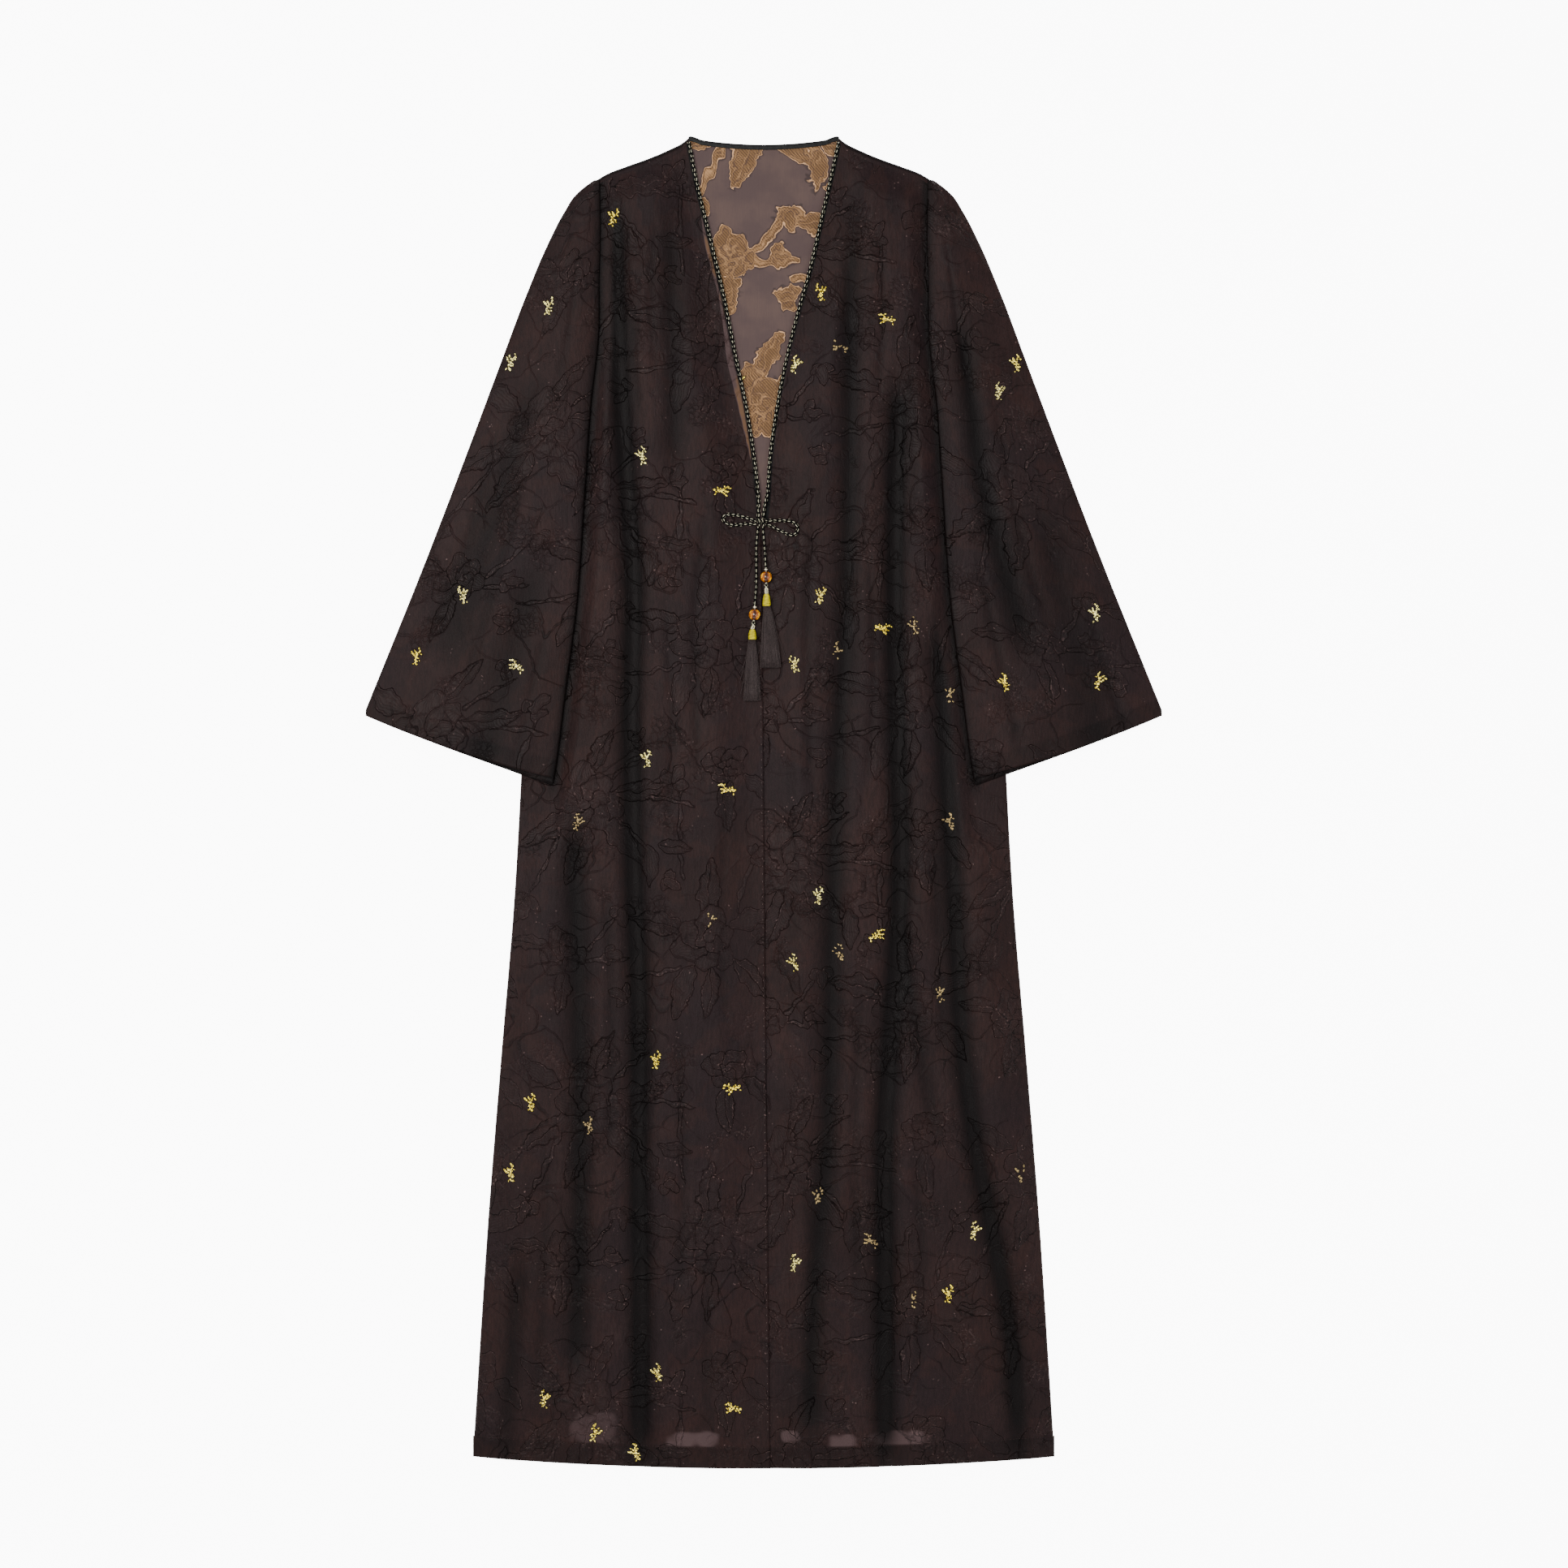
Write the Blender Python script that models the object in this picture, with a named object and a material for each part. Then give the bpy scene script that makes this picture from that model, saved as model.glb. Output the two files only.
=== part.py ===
"""An open-front abaya laid flat, face up, with its long flared sleeves over its sides.

The frame: +X to the viewer's right, +Y up the garment towards the neck, +Z away from the
surface that it lies on. The tables are in millimetres. A "drop" is the distance down from
the neck corners, the garment's highest points, and x is the distance from its middle.
"""

import math

import bmesh
import bpy
import numpy as np

# Driving sizes, in millimetres
MM = 0.001
LENGTH = 1400.0
WALL = 1.2
SEAM = 0.3
LIE = 0.45
NECK_HALF = 78.1
SHOULDER_HALF = 174.9
SEAM_BELOW_SHOULDER_FOLD = 5.0
HEM_HALF = 305.9
HEM_CORNER = 1387.6
HEM_RISE = LENGTH - HEM_CORNER
ARMHOLE_TOP = 45.2
ARMPIT = 286.7
CUFF = 667.3
CUFF_SLOPE = 0.332
CUFF_SAG = 5.0
UNDER_CUFF_SHOWS = 8.5
CORD_RADIUS = 1.8
NECK_CORD_START = 5.4
NECK_CORDS_APART = 2.6
BINDING_WIDTH = 4.3
BINDING_WALL = 0.9
BINDING_FROM_CORNER = 5.5

# Heights of the layers, at the middle of each wall
BACK_LEVEL = WALL / 2
FRONT_LEVEL = BACK_LEVEL + WALL + SEAM
OVER_FRONT_LEVEL = FRONT_LEVEL + WALL + SEAM
LAP_RISE = WALL + SEAM

# The crown that the cloth keeps between its folds
FRONT_CROWN = 6.0
SLEEVE_CROWN = 3.4

# Half widths: drop, x
SHOULDER = ((78.1, 0.0), (84.5, 5.1), (101.1, 13.7), (121.2, 22.2),
            (144.7, 30.7), (166.4, 39.3), (174.9, 44.4))
SLEEVE_OUTER = ((44.0, 177.0), (52.1, 188.5), (60.6, 198.0), (77.7, 209.4), (111.8, 227.0),
                (163.0, 248.8), (239.8, 277.8), (325.1, 309.8), (453.2, 358.4),
                (581.2, 408.8), (606.8, 419.0))
ARMHOLE = ((44.4, 174.9), (77.7, 174.3), (120.3, 176.6), (163.0, 183.5), (197.1, 192.9),
           (231.3, 207.4), (261.1, 224.4), (286.7, 242.4))
SIDE_SEAM = ((286.7, 242.4), (367.8, 245.0), (670.8, 255.2), (794.5, 262.0), (965.2, 276.1),
             (1135.9, 289.7), (1306.6, 300.8), (1387.6, 305.9))
SLEEVE_INNER = ((44.0, 172.2), (111.8, 171.6), (145.9, 172.6), (205.7, 173.0), (282.5, 181.2),
                (367.8, 187.0), (495.8, 196.2), (581.2, 207.0), (658.0, 217.0),
                (690.0, 222.5), (900.0, 232.0), (1387.6, 252.0))

# Front edges: drop, x. The viewer's left front laps over the right one below the tie.
LEFT_OPENING = ((3.4, -79.0), (45.2, -70.8), (105.8, -56.3), (163.0, -42.7), (227.9, -29.9),
                (285.0, -17.9), (347.3, -8.5), (388.3, -4.6), (420.0, -3.2), (590.0, -0.9),
                (880.0, 1.7), (1400.0, 6.8))
RIGHT_OPENING = ((3.4, 79.0), (48.6, 69.1), (97.3, 58.0), (143.4, 47.4), (179.2, 37.2),
                 (225.3, 25.6), (279.9, 14.5), (333.7, 6.8), (388.3, 2.6), (412.0, -1.0),
                 (445.0, -10.0), (500.0, -11.6), (590.0, -11.4), (880.0, -8.6), (1400.0, -3.4))

# The back hem hangs a little shorter and uneven: x, drop
BACK_HEM = ((-305.9, 1386.0), (-250.0, 1372.0), (-205.0, 1347.0), (-175.0, 1339.0),
            (-145.0, 1347.0), (-100.0, 1358.0), (0.0, 1362.0), (90.0, 1357.0),
            (140.0, 1352.0), (185.0, 1356.0), (225.0, 1370.0), (305.9, 1386.0))

# Long folds of each front: depth, half width, then the drop and x of points down the fold
LEFT_FOLDS = (
    (3.0, 13.0, ((50.0, -97.0), (200.0, -95.0), (380.0, -92.0))),
    (5.6, 13.0, ((40.0, -158.0), (197.0, -153.0), (333.7, -145.9), (453.0, -137.4),
                 (623.8, -139.1), (794.5, -135.7), (922.5, -130.6), (1050.5, -131.4),
                 (1221.0, -128.9), (1430.0, -131.4))),
    (4.0, 14.0, ((690.0, -201.4), (965.0, -192.9), (1136.0, -192.9), (1330.0, -199.0))),
    (3.0, 12.0, ((1150.0, -254.0), (1430.0, -277.0))),
)
RIGHT_FOLDS = (
    (4.0, 13.0, ((20.0, 88.0), (282.5, 91.3), (495.8, 87.0), (709.0, 76.0), (880.0, 71.7),
                 (1050.5, 67.4), (1221.0, 52.9), (1400.0, 49.0))),
    (5.6, 13.0, ((230.0, 143.0), (410.5, 138.2), (623.8, 140.0), (751.8, 144.2),
                 (922.5, 135.7), (1050.5, 127.2), (1178.5, 127.2), (1430.0, 127.2))),
    (2.6, 10.0, ((820.0, 143.0), (965.0, 165.6), (1080.0, 188.0))),
    (4.8, 13.0, ((480.0, 182.0), (794.5, 199.7), (990.8, 212.5), (1076.0, 225.3),
                 (1161.0, 242.4), (1255.0, 259.4), (1430.0, 270.0))),
)
FOLD_END = 70.0
FREE_START = 46.0
FREE_END = 100.0
HEM_CALM = 60.0
HEM_CALMER = 0.45

# Long folds of each sleeve: depth, half width, then the drop and the share of the width
# from the outer edge
LEFT_SLEEVE_FOLDS = (
    (1.8, 0.12, ((230.0, 0.40), (420.0, 0.34), (600.0, 0.30))),
    (2.0, 0.10, ((420.0, 0.72), (560.0, 0.66), (720.0, 0.62))),
)
RIGHT_SLEEVE_FOLDS = (
    (2.8, 0.11, ((170.0, 0.58), (330.0, 0.68), (453.0, 0.62), (580.0, 0.57))),
    (1.6, 0.12, ((380.0, 0.28), (560.0, 0.30), (720.0, 0.34))),
)

# Rows of the grids, by the drop of the body's outer edge
ARMHOLE_ROWS = np.array([ARMHOLE_TOP, 54.0, 65.0, 80.0, 101.0, 126.0, 153.0, 180.0, 207.0, 233.5,
                         260.0, ARMPIT])
UNDER_SLEEVE_ROWS = np.linspace(ARMPIT, CUFF, 10)[1:]
LOWER_ROWS = np.linspace(CUFF, HEM_CORNER, 16)[1:]
FRONT_COLUMNS = 16
COVERED_COLUMNS = 4
BACK_COLUMN_SHARES = (0.12, 0.24, 0.36, NECK_HALF / SHOULDER_HALF, 0.60, 0.75, 0.88, 1.0)

# The tie: x, drop and what it adds to the height of a cord that lies on the cloth
KNOT = (-3.0, 405.4)
KNOT_SIZE = (9.0, 7.4, 5.2)
LEFT_LOOP = ((-8.0, 403.9, 2.6), (-13.0, 402.2, 2.4), (-19.4, 400.2, 1.6), (-27.9, 398.0, 0.7),
             (-34.7, 397.2, 0.2), (-40.0, 397.8, 0.0), (-43.0, 400.4, 0.0), (-41.6, 403.8, 0.0),
             (-38.0, 406.8, 0.0), (-33.0, 408.2, 0.0), (-27.6, 407.9, 0.0), (-20.7, 407.0, 0.0),
             (-14.0, 406.9, 0.0), (-8.0, 407.0, 0.0))
RIGHT_LOOP = ((2.0, 403.9, 2.6), (6.0, 403.5, 2.4), (10.7, 403.4, 1.6), (19.1, 403.2, 0.6),
              (27.0, 403.8, 0.1), (32.9, 406.4, 0.0), (35.8, 411.4, 0.0), (34.8, 416.2, 0.0),
              (29.6, 418.6, 0.0), (21.8, 416.0, 0.0), (14.5, 412.6, 0.0), (8.0, 409.0, 0.0),
              (2.0, 407.2, 0.0))
LEFT_TAIL = ((-6.0, 409.5, 0.4), (-6.9, 418.0, 0.0), (-7.7, 430.0, 0.0), (-7.9, 446.0, 0.0),
             (-7.8, 462.0, 0.0), (-8.2, 476.0, 1.2), (-9.0, 486.0, 3.4), (-9.4, 492.4, 4.4))
RIGHT_TAIL = ((-1.2, 409.5, 0.4), (-0.5, 416.0, 0.0), (0.4, 426.0, 0.0), (1.2, 436.0, 0.6),
              (1.7, 445.0, 2.8), (2.2, 452.9, 4.4))
TAIL_ENDS = {
    # x and drop of the beads and knots; the cap's x, top and end; and the tassel's x, top,
    # end, half width and lean
    "left": {"metal_bead": (-9.4, 494.5), "amber_bead": (-9.6, 502.3), "knot": (-10.8, 510.8),
             "cap": (-11.9, 517.8, 528.4), "tassel": (-12.4, 528.7, 593.0, 9.8, 0.0)},
    "right": {"metal_bead": (2.3, 454.9), "amber_bead": (2.6, 462.7), "knot": (2.7, 471.2),
              "cap": (3.0, 480.4, 493.2), "tassel": (3.3, 493.5, 558.0, 12.6, 4.2)},
}
AMBER_RADIUS = 6.0
METAL_BEAD_HALF = (2.3, 1.45)
TAIL_KNOT_RADIUS = 2.1
THREAD_RADIUS = 0.6
CAP_TOP_RADIUS = 2.5
CAP_RADIUS = 4.2
TASSEL_ROOT = (3.9, 3.0)
TASSEL_HEAD = 1.6
TASSEL_END_HEIGHT = 2.4
STRANDS_ACROSS = 12
STRANDS_DEEP = 3
STRAND_UNEVEN = 0.9


# Curves and ramps

def smooth(table, at):
    """A smooth curve through the table's rows, read at one place or many."""
    knots = np.array([row[0] for row in table], dtype=float)
    values = np.array([row[1] for row in table], dtype=float)
    slopes = np.gradient(values, knots)
    at = np.clip(np.asarray(at, dtype=float), knots[0], knots[-1])
    span = np.clip(np.searchsorted(knots, at, side="right") - 1, 0, len(knots) - 2)
    width = knots[span + 1] - knots[span]
    t = (at - knots[span]) / width
    rise = t * t * (3.0 - 2.0 * t)
    return (values[span] * (1.0 - rise) + values[span + 1] * rise
            + width * slopes[span] * t * (1.0 - t) ** 2
            - width * slopes[span + 1] * t * t * (1.0 - t))


def ramp(start, end, at):
    """0 before the start, 1 past the end, and a soft step between them."""
    t = np.clip((np.asarray(at, dtype=float) - start) / (end - start), 0.0, 1.0)
    return t * t * (3.0 - 2.0 * t)


def place(x, drop, height):
    """A point in metres from its x, drop and height in millimetres."""
    return (x * MM, (LENGTH / 2 - drop) * MM, height * MM)


# The garment's edges

def outer_edge(drop):
    """Half width of the body at its armhole and side seam."""
    return np.where(np.asarray(drop) < ARMPIT, smooth(ARMHOLE, drop), smooth(SIDE_SEAM, drop))


def front_edge(side, drop):
    return smooth(LEFT_OPENING if side < 0 else RIGHT_OPENING, drop)


def hem_drop(x):
    return LENGTH - HEM_RISE * (np.asarray(x) / HEM_HALF) ** 2


def back_top(x):
    """The back's upper edge: its shallow neck, then the shoulder fold."""
    across = np.abs(x)
    neck = 1.9 + 7.0 * (1.0 - (across / NECK_HALF) ** 2)
    corner = 1.0 - ramp(NECK_HALF - 6.0, NECK_HALF, across)
    return np.where(across < NECK_HALF, neck * corner, smooth(SHOULDER, across))


# Heights of the cloth

def fold_depth(folds, across, drop):
    """How far the folds sink below the crown at each point."""
    depth = np.zeros(np.broadcast(across, drop).shape)
    for deep, half, points in folds:
        start, end = points[0][0], points[-1][0]
        line = smooth(points, drop)
        along = ramp(start, start + FOLD_END, drop) * (1.0 - ramp(end - FOLD_END, end, drop))
        depth = depth + deep * along * np.exp(-((across - line) / half) ** 2)
    return depth


def front_height(side, x, drop):
    """Middle of a front's wall: flat at its edges and under the sleeve, crowned between."""
    from_edge = (x - front_edge(side, drop)) * side
    from_sleeve = smooth(SLEEVE_INNER, drop) - 2.0 - np.abs(x)
    from_side = outer_edge(drop) - np.abs(x)
    beside_sleeve = ramp(0.0, 19.0, from_sleeve)
    below_cuff = ramp(0.0, 34.0, from_side)
    free = ramp(CUFF + FREE_START, CUFF + FREE_END, drop)
    mask = ramp(12.0, 52.0, from_edge) * (beside_sleeve * (1.0 - free) + below_cuff * free)
    shoulder = smooth(SHOULDER, np.clip(np.abs(x), NECK_HALF, SHOULDER_HALF))
    at_hem = 1.0 - ramp(0.0, HEM_CALM, hem_drop(x) - drop)
    mask = mask * ramp(4.0, 40.0, drop - shoulder) * (1.0 - HEM_CALMER * at_hem)
    folds = LEFT_FOLDS if side < 0 else RIGHT_FOLDS
    relief = np.maximum(FRONT_CROWN - fold_depth(folds, x, drop), 0.0)
    lap = LAP_RISE * ramp(360.0, 400.0, drop) * (1.0 - ramp(16.0, 44.0, from_edge)) * (side < 0)
    return FRONT_LEVEL + mask * relief + lap


def cloth_top(x, drop):
    """Top of whatever cloth lies at this point, outside the sleeves."""
    top = BACK_LEVEL
    for side in (-1, 1):
        if (x - float(front_edge(side, drop))) * side >= 0.0:
            top = max(top, float(front_height(side, x, drop)))
    return top + WALL / 2


def lying_height(x, drop, reach):
    """Lowest height at which something of this reach clears the cloth below it."""
    turns = [math.tau * step / 8 for step in range(8)]
    near = [cloth_top(x + reach * math.cos(a), drop + reach * math.sin(a)) for a in turns]
    return max(near + [cloth_top(x, drop)]) + LIE


# Building solids

def material(name, color, roughness, metallic=0.0):
    made = bpy.data.materials.new(name)
    made.use_nodes = True
    shader = made.node_tree.nodes["Principled BSDF"]
    shader.inputs["Base Color"].default_value = (*color, 1.0)
    shader.inputs["Roughness"].default_value = roughness
    shader.inputs["Metallic"].default_value = metallic
    return made


def add_mesh(name, points, faces, finish):
    """One object from points and faces, with its faces turned outwards."""
    mesh = bpy.data.meshes.new(name)
    mesh.from_pydata(points, [], faces)
    build = bmesh.new()
    build.from_mesh(mesh)
    bmesh.ops.recalc_face_normals(build, faces=build.faces)
    build.to_mesh(mesh)
    build.free()
    mesh.materials.append(finish)
    mesh.shade_smooth()
    item = bpy.data.objects.new(name, mesh)
    bpy.context.scene.collection.objects.link(item)
    return item


def add_wall(name, top, bottom, finish, shut_from=None):
    """A wall between two grids of points, with a rim round each free edge.

    From row shut_from on, the first and last columns are the same points, as on a tube.
    """
    rows, columns = top.shape[:2]
    numbers = np.zeros((rows, columns), dtype=int)
    points_top, points_bottom = [], []
    for row in range(rows):
        shut = shut_from is not None and row >= shut_from
        for column in range(columns):
            if shut and column == columns - 1:
                numbers[row, column] = numbers[row, 0]
                continue
            numbers[row, column] = len(points_top)
            points_top.append(tuple(top[row, column]))
            points_bottom.append(tuple(bottom[row, column]))
    below = len(points_top)
    upper = []
    for row in range(rows - 1):
        for column in range(columns - 1):
            upper.append((numbers[row, column], numbers[row, column + 1],
                          numbers[row + 1, column + 1], numbers[row + 1, column]))
    sides = {(face[k], face[(k + 1) % 4]) for face in upper for k in range(4)}
    rim = [(b, a, a + below, b + below) for a, b in sides if (b, a) not in sides]
    lower = [tuple(point + below for point in reversed(face)) for face in upper]
    faces = [tuple(int(point) for point in face) for face in upper + lower + sorted(rim)]
    return add_mesh(name, points_top + points_bottom, faces, finish)


def add_loft(name, stations, sides, finish):
    """A closed round solid through stations of x, drop, height, half width, half height."""
    points, faces = [], []
    for x, drop, height, half_width, half_height in stations:
        for step in range(sides):
            turn = math.tau * step / sides
            points.append(place(x + half_width * math.cos(turn), drop,
                                height + half_height * math.sin(turn)))
    for ring in range(len(stations) - 1):
        for step in range(sides):
            after = (step + 1) % sides
            faces.append((ring * sides + step, ring * sides + after,
                          (ring + 1) * sides + after, (ring + 1) * sides + step))
    faces.append(tuple(range(sides)))
    faces.append(tuple(range((len(stations) - 1) * sides, len(stations) * sides)))
    return add_mesh(name, points, faces, finish)


def add_ball(name, x, drop, height, half_width, half_length, finish, sides=12, rings=8):
    """A bead with its bore along the garment and small flat ends."""
    stations = []
    for ring in range(1, rings):
        turn = math.pi * ring / rings
        around = half_width * math.sin(turn)
        stations.append((x, drop - half_length * math.cos(turn), height, around, around))
    return add_loft(name, stations, sides, finish)


def add_tube(name, route, radius, finish, spacing, resolution=2):
    """A round cord on one smooth curve through the route's points."""
    route = np.array(route, dtype=float)
    gaps = np.linalg.norm(np.diff(route, axis=0), axis=1)
    along = np.concatenate(([0.0], np.cumsum(gaps)))
    count = max(4, int(round(along[-1] / spacing)) + 1)
    stops = np.linspace(0.0, along[-1], count)
    curves = [smooth(list(zip(along, route[:, axis])), stops) for axis in range(3)]
    curve = bpy.data.curves.new(name, "CURVE")
    curve.dimensions = "3D"
    curve.bevel_depth = radius * MM
    curve.bevel_resolution = resolution
    curve.use_fill_caps = True
    spline = curve.splines.new("POLY")
    spline.points.add(count - 1)
    for point, x, drop, height in zip(spline.points, *curves):
        point.co = (*place(x, drop, height), 1.0)
    curve.materials.append(finish)
    item = bpy.data.objects.new(name, curve)
    bpy.context.scene.collection.objects.link(item)
    return item


# Cloth panels

def panel_walls(x, drop, height):
    """Top and bottom grids of a panel from its x, drop and middle height."""
    def grid(level):
        return np.stack([x * MM, (LENGTH / 2 - drop) * MM, level * MM], axis=-1)
    return grid(height + WALL / 2), grid(height - WALL / 2)


def front_grid(side):
    """Plan of one front: rows from the shoulder seam to the hem, columns out to the side."""
    outer_drop = np.concatenate([ARMHOLE_ROWS, UNDER_SLEEVE_ROWS, LOWER_ROWS])
    outer_drop[0] = float(smooth(SHOULDER, SHOULDER_HALF)) + SEAM_BELOW_SHOULDER_FOLD
    from_shoulder = 1.0 - ramp(outer_drop[0], 330.0, outer_drop)
    to_hem = ramp(1100.0, HEM_CORNER, outer_drop)
    top_lead = LEFT_OPENING[0][0] - outer_drop[0]
    inner_drop = outer_drop + top_lead * from_shoulder + HEM_RISE * to_hem
    inner_x = front_edge(side, inner_drop)
    outer_x = side * outer_edge(outer_drop)
    covered = (smooth(SLEEVE_INNER, outer_drop) - 2.0) * side
    near = np.linspace(0.0, 1.0, FRONT_COLUMNS + 1)
    far = np.linspace(0.0, 1.0, COVERED_COLUMNS + 1)[1:]
    x = np.concatenate([inner_x[:, None] + (covered - inner_x)[:, None] * near,
                        covered[:, None] + (outer_x - covered)[:, None] * far], axis=1)
    share = (x - inner_x[:, None]) / (outer_x - inner_x)[:, None]
    drop = inner_drop[:, None] + (outer_drop - inner_drop)[:, None] * share
    seam = smooth(SHOULDER, np.clip(np.abs(x[0]), NECK_HALF, SHOULDER_HALF))
    seam = seam + SEAM_BELOW_SHOULDER_FOLD * ramp(NECK_HALF - 2.0, NECK_HALF + 12.0, np.abs(x[0]))
    seam_bow = seam - drop[0]
    seam_bow = seam_bow - seam_bow[0] * (1.0 - share[0])
    hem_bow = hem_drop(x[-1]) - drop[-1]
    seam_fade = 1.0 - ramp(outer_drop[0], 150.0, outer_drop)
    hem_fade = ramp(1250.0, HEM_CORNER, outer_drop)
    return x, drop + seam_fade[:, None] * seam_bow + hem_fade[:, None] * hem_bow


def add_front(name, side, finish):
    x, drop = front_grid(side)
    top, bottom = panel_walls(x, drop, front_height(side, x, drop))
    return add_wall(name, top, bottom, finish)


def add_back(finish):
    outer_drop = np.concatenate([ARMHOLE_ROWS, UNDER_SLEEVE_ROWS[2::3], LOWER_ROWS[2::3]])
    outer_drop[0] = float(smooth(SHOULDER, SHOULDER_HALF))
    shares = np.array([-share for share in reversed(BACK_COLUMN_SHARES)] + [0.0]
                      + list(BACK_COLUMN_SHARES))
    x = outer_edge(outer_drop)[:, None] * shares
    top_lead = back_top(x[0]) - outer_drop[0]
    hem_lead = smooth(BACK_HEM, x[-1]) - outer_drop[-1]
    top_fade = 1.0 - ramp(outer_drop[0], 170.0, outer_drop)
    hem_fade = ramp(1000.0, HEM_CORNER, outer_drop)
    drop = outer_drop[:, None] + top_fade[:, None] * top_lead + hem_fade[:, None] * hem_lead
    top, bottom = panel_walls(x, drop, np.full(x.shape, BACK_LEVEL))
    return add_wall("back", top, bottom, finish)


def add_binding(finish):
    """Black binding of the back neck: a strip on the back with a lip down its edge."""
    shares = [share for share in BACK_COLUMN_SHARES if share * SHOULDER_HALF <= NECK_HALF]
    half = [0.0] + [share * SHOULDER_HALF for share in shares]
    half_edge = back_top(half)
    end = NECK_HALF - BINDING_FROM_CORNER
    stops = np.array([-end] + [-x for x in half[-2:0:-1]] + half[:-1] + [end])
    edge = np.interp(np.abs(stops), half, half_edge)
    panel_top = BACK_LEVEL + WALL / 2
    lip_inner, lip_outer = -SEAM, -SEAM - BINDING_WALL
    under, over = panel_top + SEAM, panel_top + SEAM + BINDING_WALL
    section = ((lip_outer, 0.0), (lip_inner, 0.0), (lip_inner, under),
               (BINDING_WIDTH, under), (BINDING_WIDTH, over), (lip_outer, over))
    points = [place(x, top + across, height)
              for x, top in zip(stops, edge) for across, height in section]
    corners = len(section)
    faces = []
    for row in range(len(stops) - 1):
        for k in range(corners):
            after = (k + 1) % corners
            faces.append((row * corners + k, row * corners + after,
                          (row + 1) * corners + after, (row + 1) * corners + k))
    first, last = 0, (len(stops) - 1) * corners
    for start in (first, last):
        faces.append(tuple(start + k for k in (0, 1, 2, 5)))
        faces.append(tuple(start + k for k in (2, 3, 4, 5)))
    return add_mesh("back_neck_binding", points, faces, finish)


# Sleeves

def sleeve_row(row_drop, reference_x):
    """Line of one ring of the sleeve across the garment: drop as a function of x."""
    share = (row_drop - ARMHOLE_TOP) / (CUFF - ARMHOLE_TOP)
    slope = CUFF_SLOPE * ramp(0.0, 1.0, share)
    outer_x, inner_x = reference_x, reference_x
    for _ in range(12):
        outer_x = float(smooth(SLEEVE_OUTER, row_drop + slope * (reference_x - outer_x)))
        inner_x = float(smooth(SLEEVE_INNER, row_drop + slope * (reference_x - inner_x)))

    def drop_at(x):
        part = np.clip((outer_x - x) / (outer_x - inner_x), 0.0, 1.0)
        sag = CUFF_SAG * share * 4.0 * (part * (1.0 - part) - 0.23)
        return row_drop + slope * (reference_x - x) + sag * ramp(0.5, 1.0, share)
    return outer_x, inner_x, drop_at


def sleeve_section(row, row_drop, folds):
    """Middle line of the sleeve's wall across one ring, as x, height and under layer or not."""
    body_x = float(outer_edge(row_drop))
    outer_x, inner_x, drop_at = sleeve_row(row_drop, body_x)
    shut = row >= len(ARMHOLE_ROWS) - 1
    inner_radius = 0.85 + 1.5 * float(ramp(90.0, 330.0, row_drop))
    outer_radius = 1.2
    inner_start = inner_x + WALL / 2 + inner_radius
    outer_start = outer_x - WALL / 2 - outer_radius
    line = []

    tuck_start = body_x + 1.6 if shut else body_x
    for x in np.linspace(tuck_start, inner_start, 4)[:-1]:
        line.append((x, OVER_FRONT_LEVEL, 1.0))
    for turn in np.linspace(-90.0, -270.0, 5):
        angle = math.radians(turn)
        line.append((inner_start + inner_radius * math.cos(angle),
                     OVER_FRONT_LEVEL + inner_radius + inner_radius * math.sin(angle),
                     0.5 - 0.5 * math.sin(angle)))
    inner_top = OVER_FRONT_LEVEL + 2.0 * inner_radius
    outer_top = BACK_LEVEL + 2.0 * outer_radius
    crown = SLEEVE_CROWN * float(ramp(6.0, 70.0, outer_x - inner_x))
    for part in np.linspace(1.0, 0.0, 10)[1:-1]:
        x = outer_start + (inner_start - outer_start) * part
        sink = float(fold_depth(folds, part, row_drop)) * float(ramp(6.0, 70.0, outer_x - inner_x))
        rise = outer_top + (inner_top - outer_top) * float(ramp(0.0, 0.75, part))
        full = rise + crown * (4.0 * part * (1.0 - part)) ** 0.7
        line.append((x, max(full - sink, rise - 0.4), 0.0))
    for turn in np.linspace(90.0, -90.0, 4):
        angle = math.radians(turn)
        line.append((outer_start + outer_radius * math.cos(angle),
                     BACK_LEVEL + outer_radius + outer_radius * math.sin(angle),
                     0.5 - 0.5 * math.sin(angle)))
    if shut:
        lift = OVER_FRONT_LEVEL - BACK_LEVEL
        ramp_foot = min(16.0, 0.5 * (outer_start - body_x))
        for x in np.linspace(outer_start, body_x + ramp_foot, 5)[1:]:
            line.append((x, BACK_LEVEL, 1.0))
        line.append((body_x + 0.55 * ramp_foot, BACK_LEVEL + 0.45 * lift, 1.0))
        line.append((tuck_start, OVER_FRONT_LEVEL, 1.0))
    else:
        for x in np.linspace(outer_start, body_x + 0.5, 7)[1:]:
            line.append((x, BACK_LEVEL, 1.0))
    return np.array(line), drop_at, shut


def offset_line(line, shut, distance):
    """The section's line moved to one side, with mitred corners."""
    points = line[:, :2]
    steps = np.diff(points, axis=0)
    steps = steps / np.linalg.norm(steps, axis=1)[:, None]
    before = np.vstack([steps[-1:] if shut else steps[:1], steps])
    after = np.vstack([steps, steps[:1] if shut else steps[-1:]])
    normals_before = np.stack([before[:, 1], -before[:, 0]], axis=1)
    normals_after = np.stack([after[:, 1], -after[:, 0]], axis=1)
    joined = normals_before + normals_after
    joined = joined / np.linalg.norm(joined, axis=1)[:, None]
    stretch = 1.0 / np.maximum((joined * normals_before).sum(axis=1), 0.75)
    return points + joined * (distance * stretch)[:, None]


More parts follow.
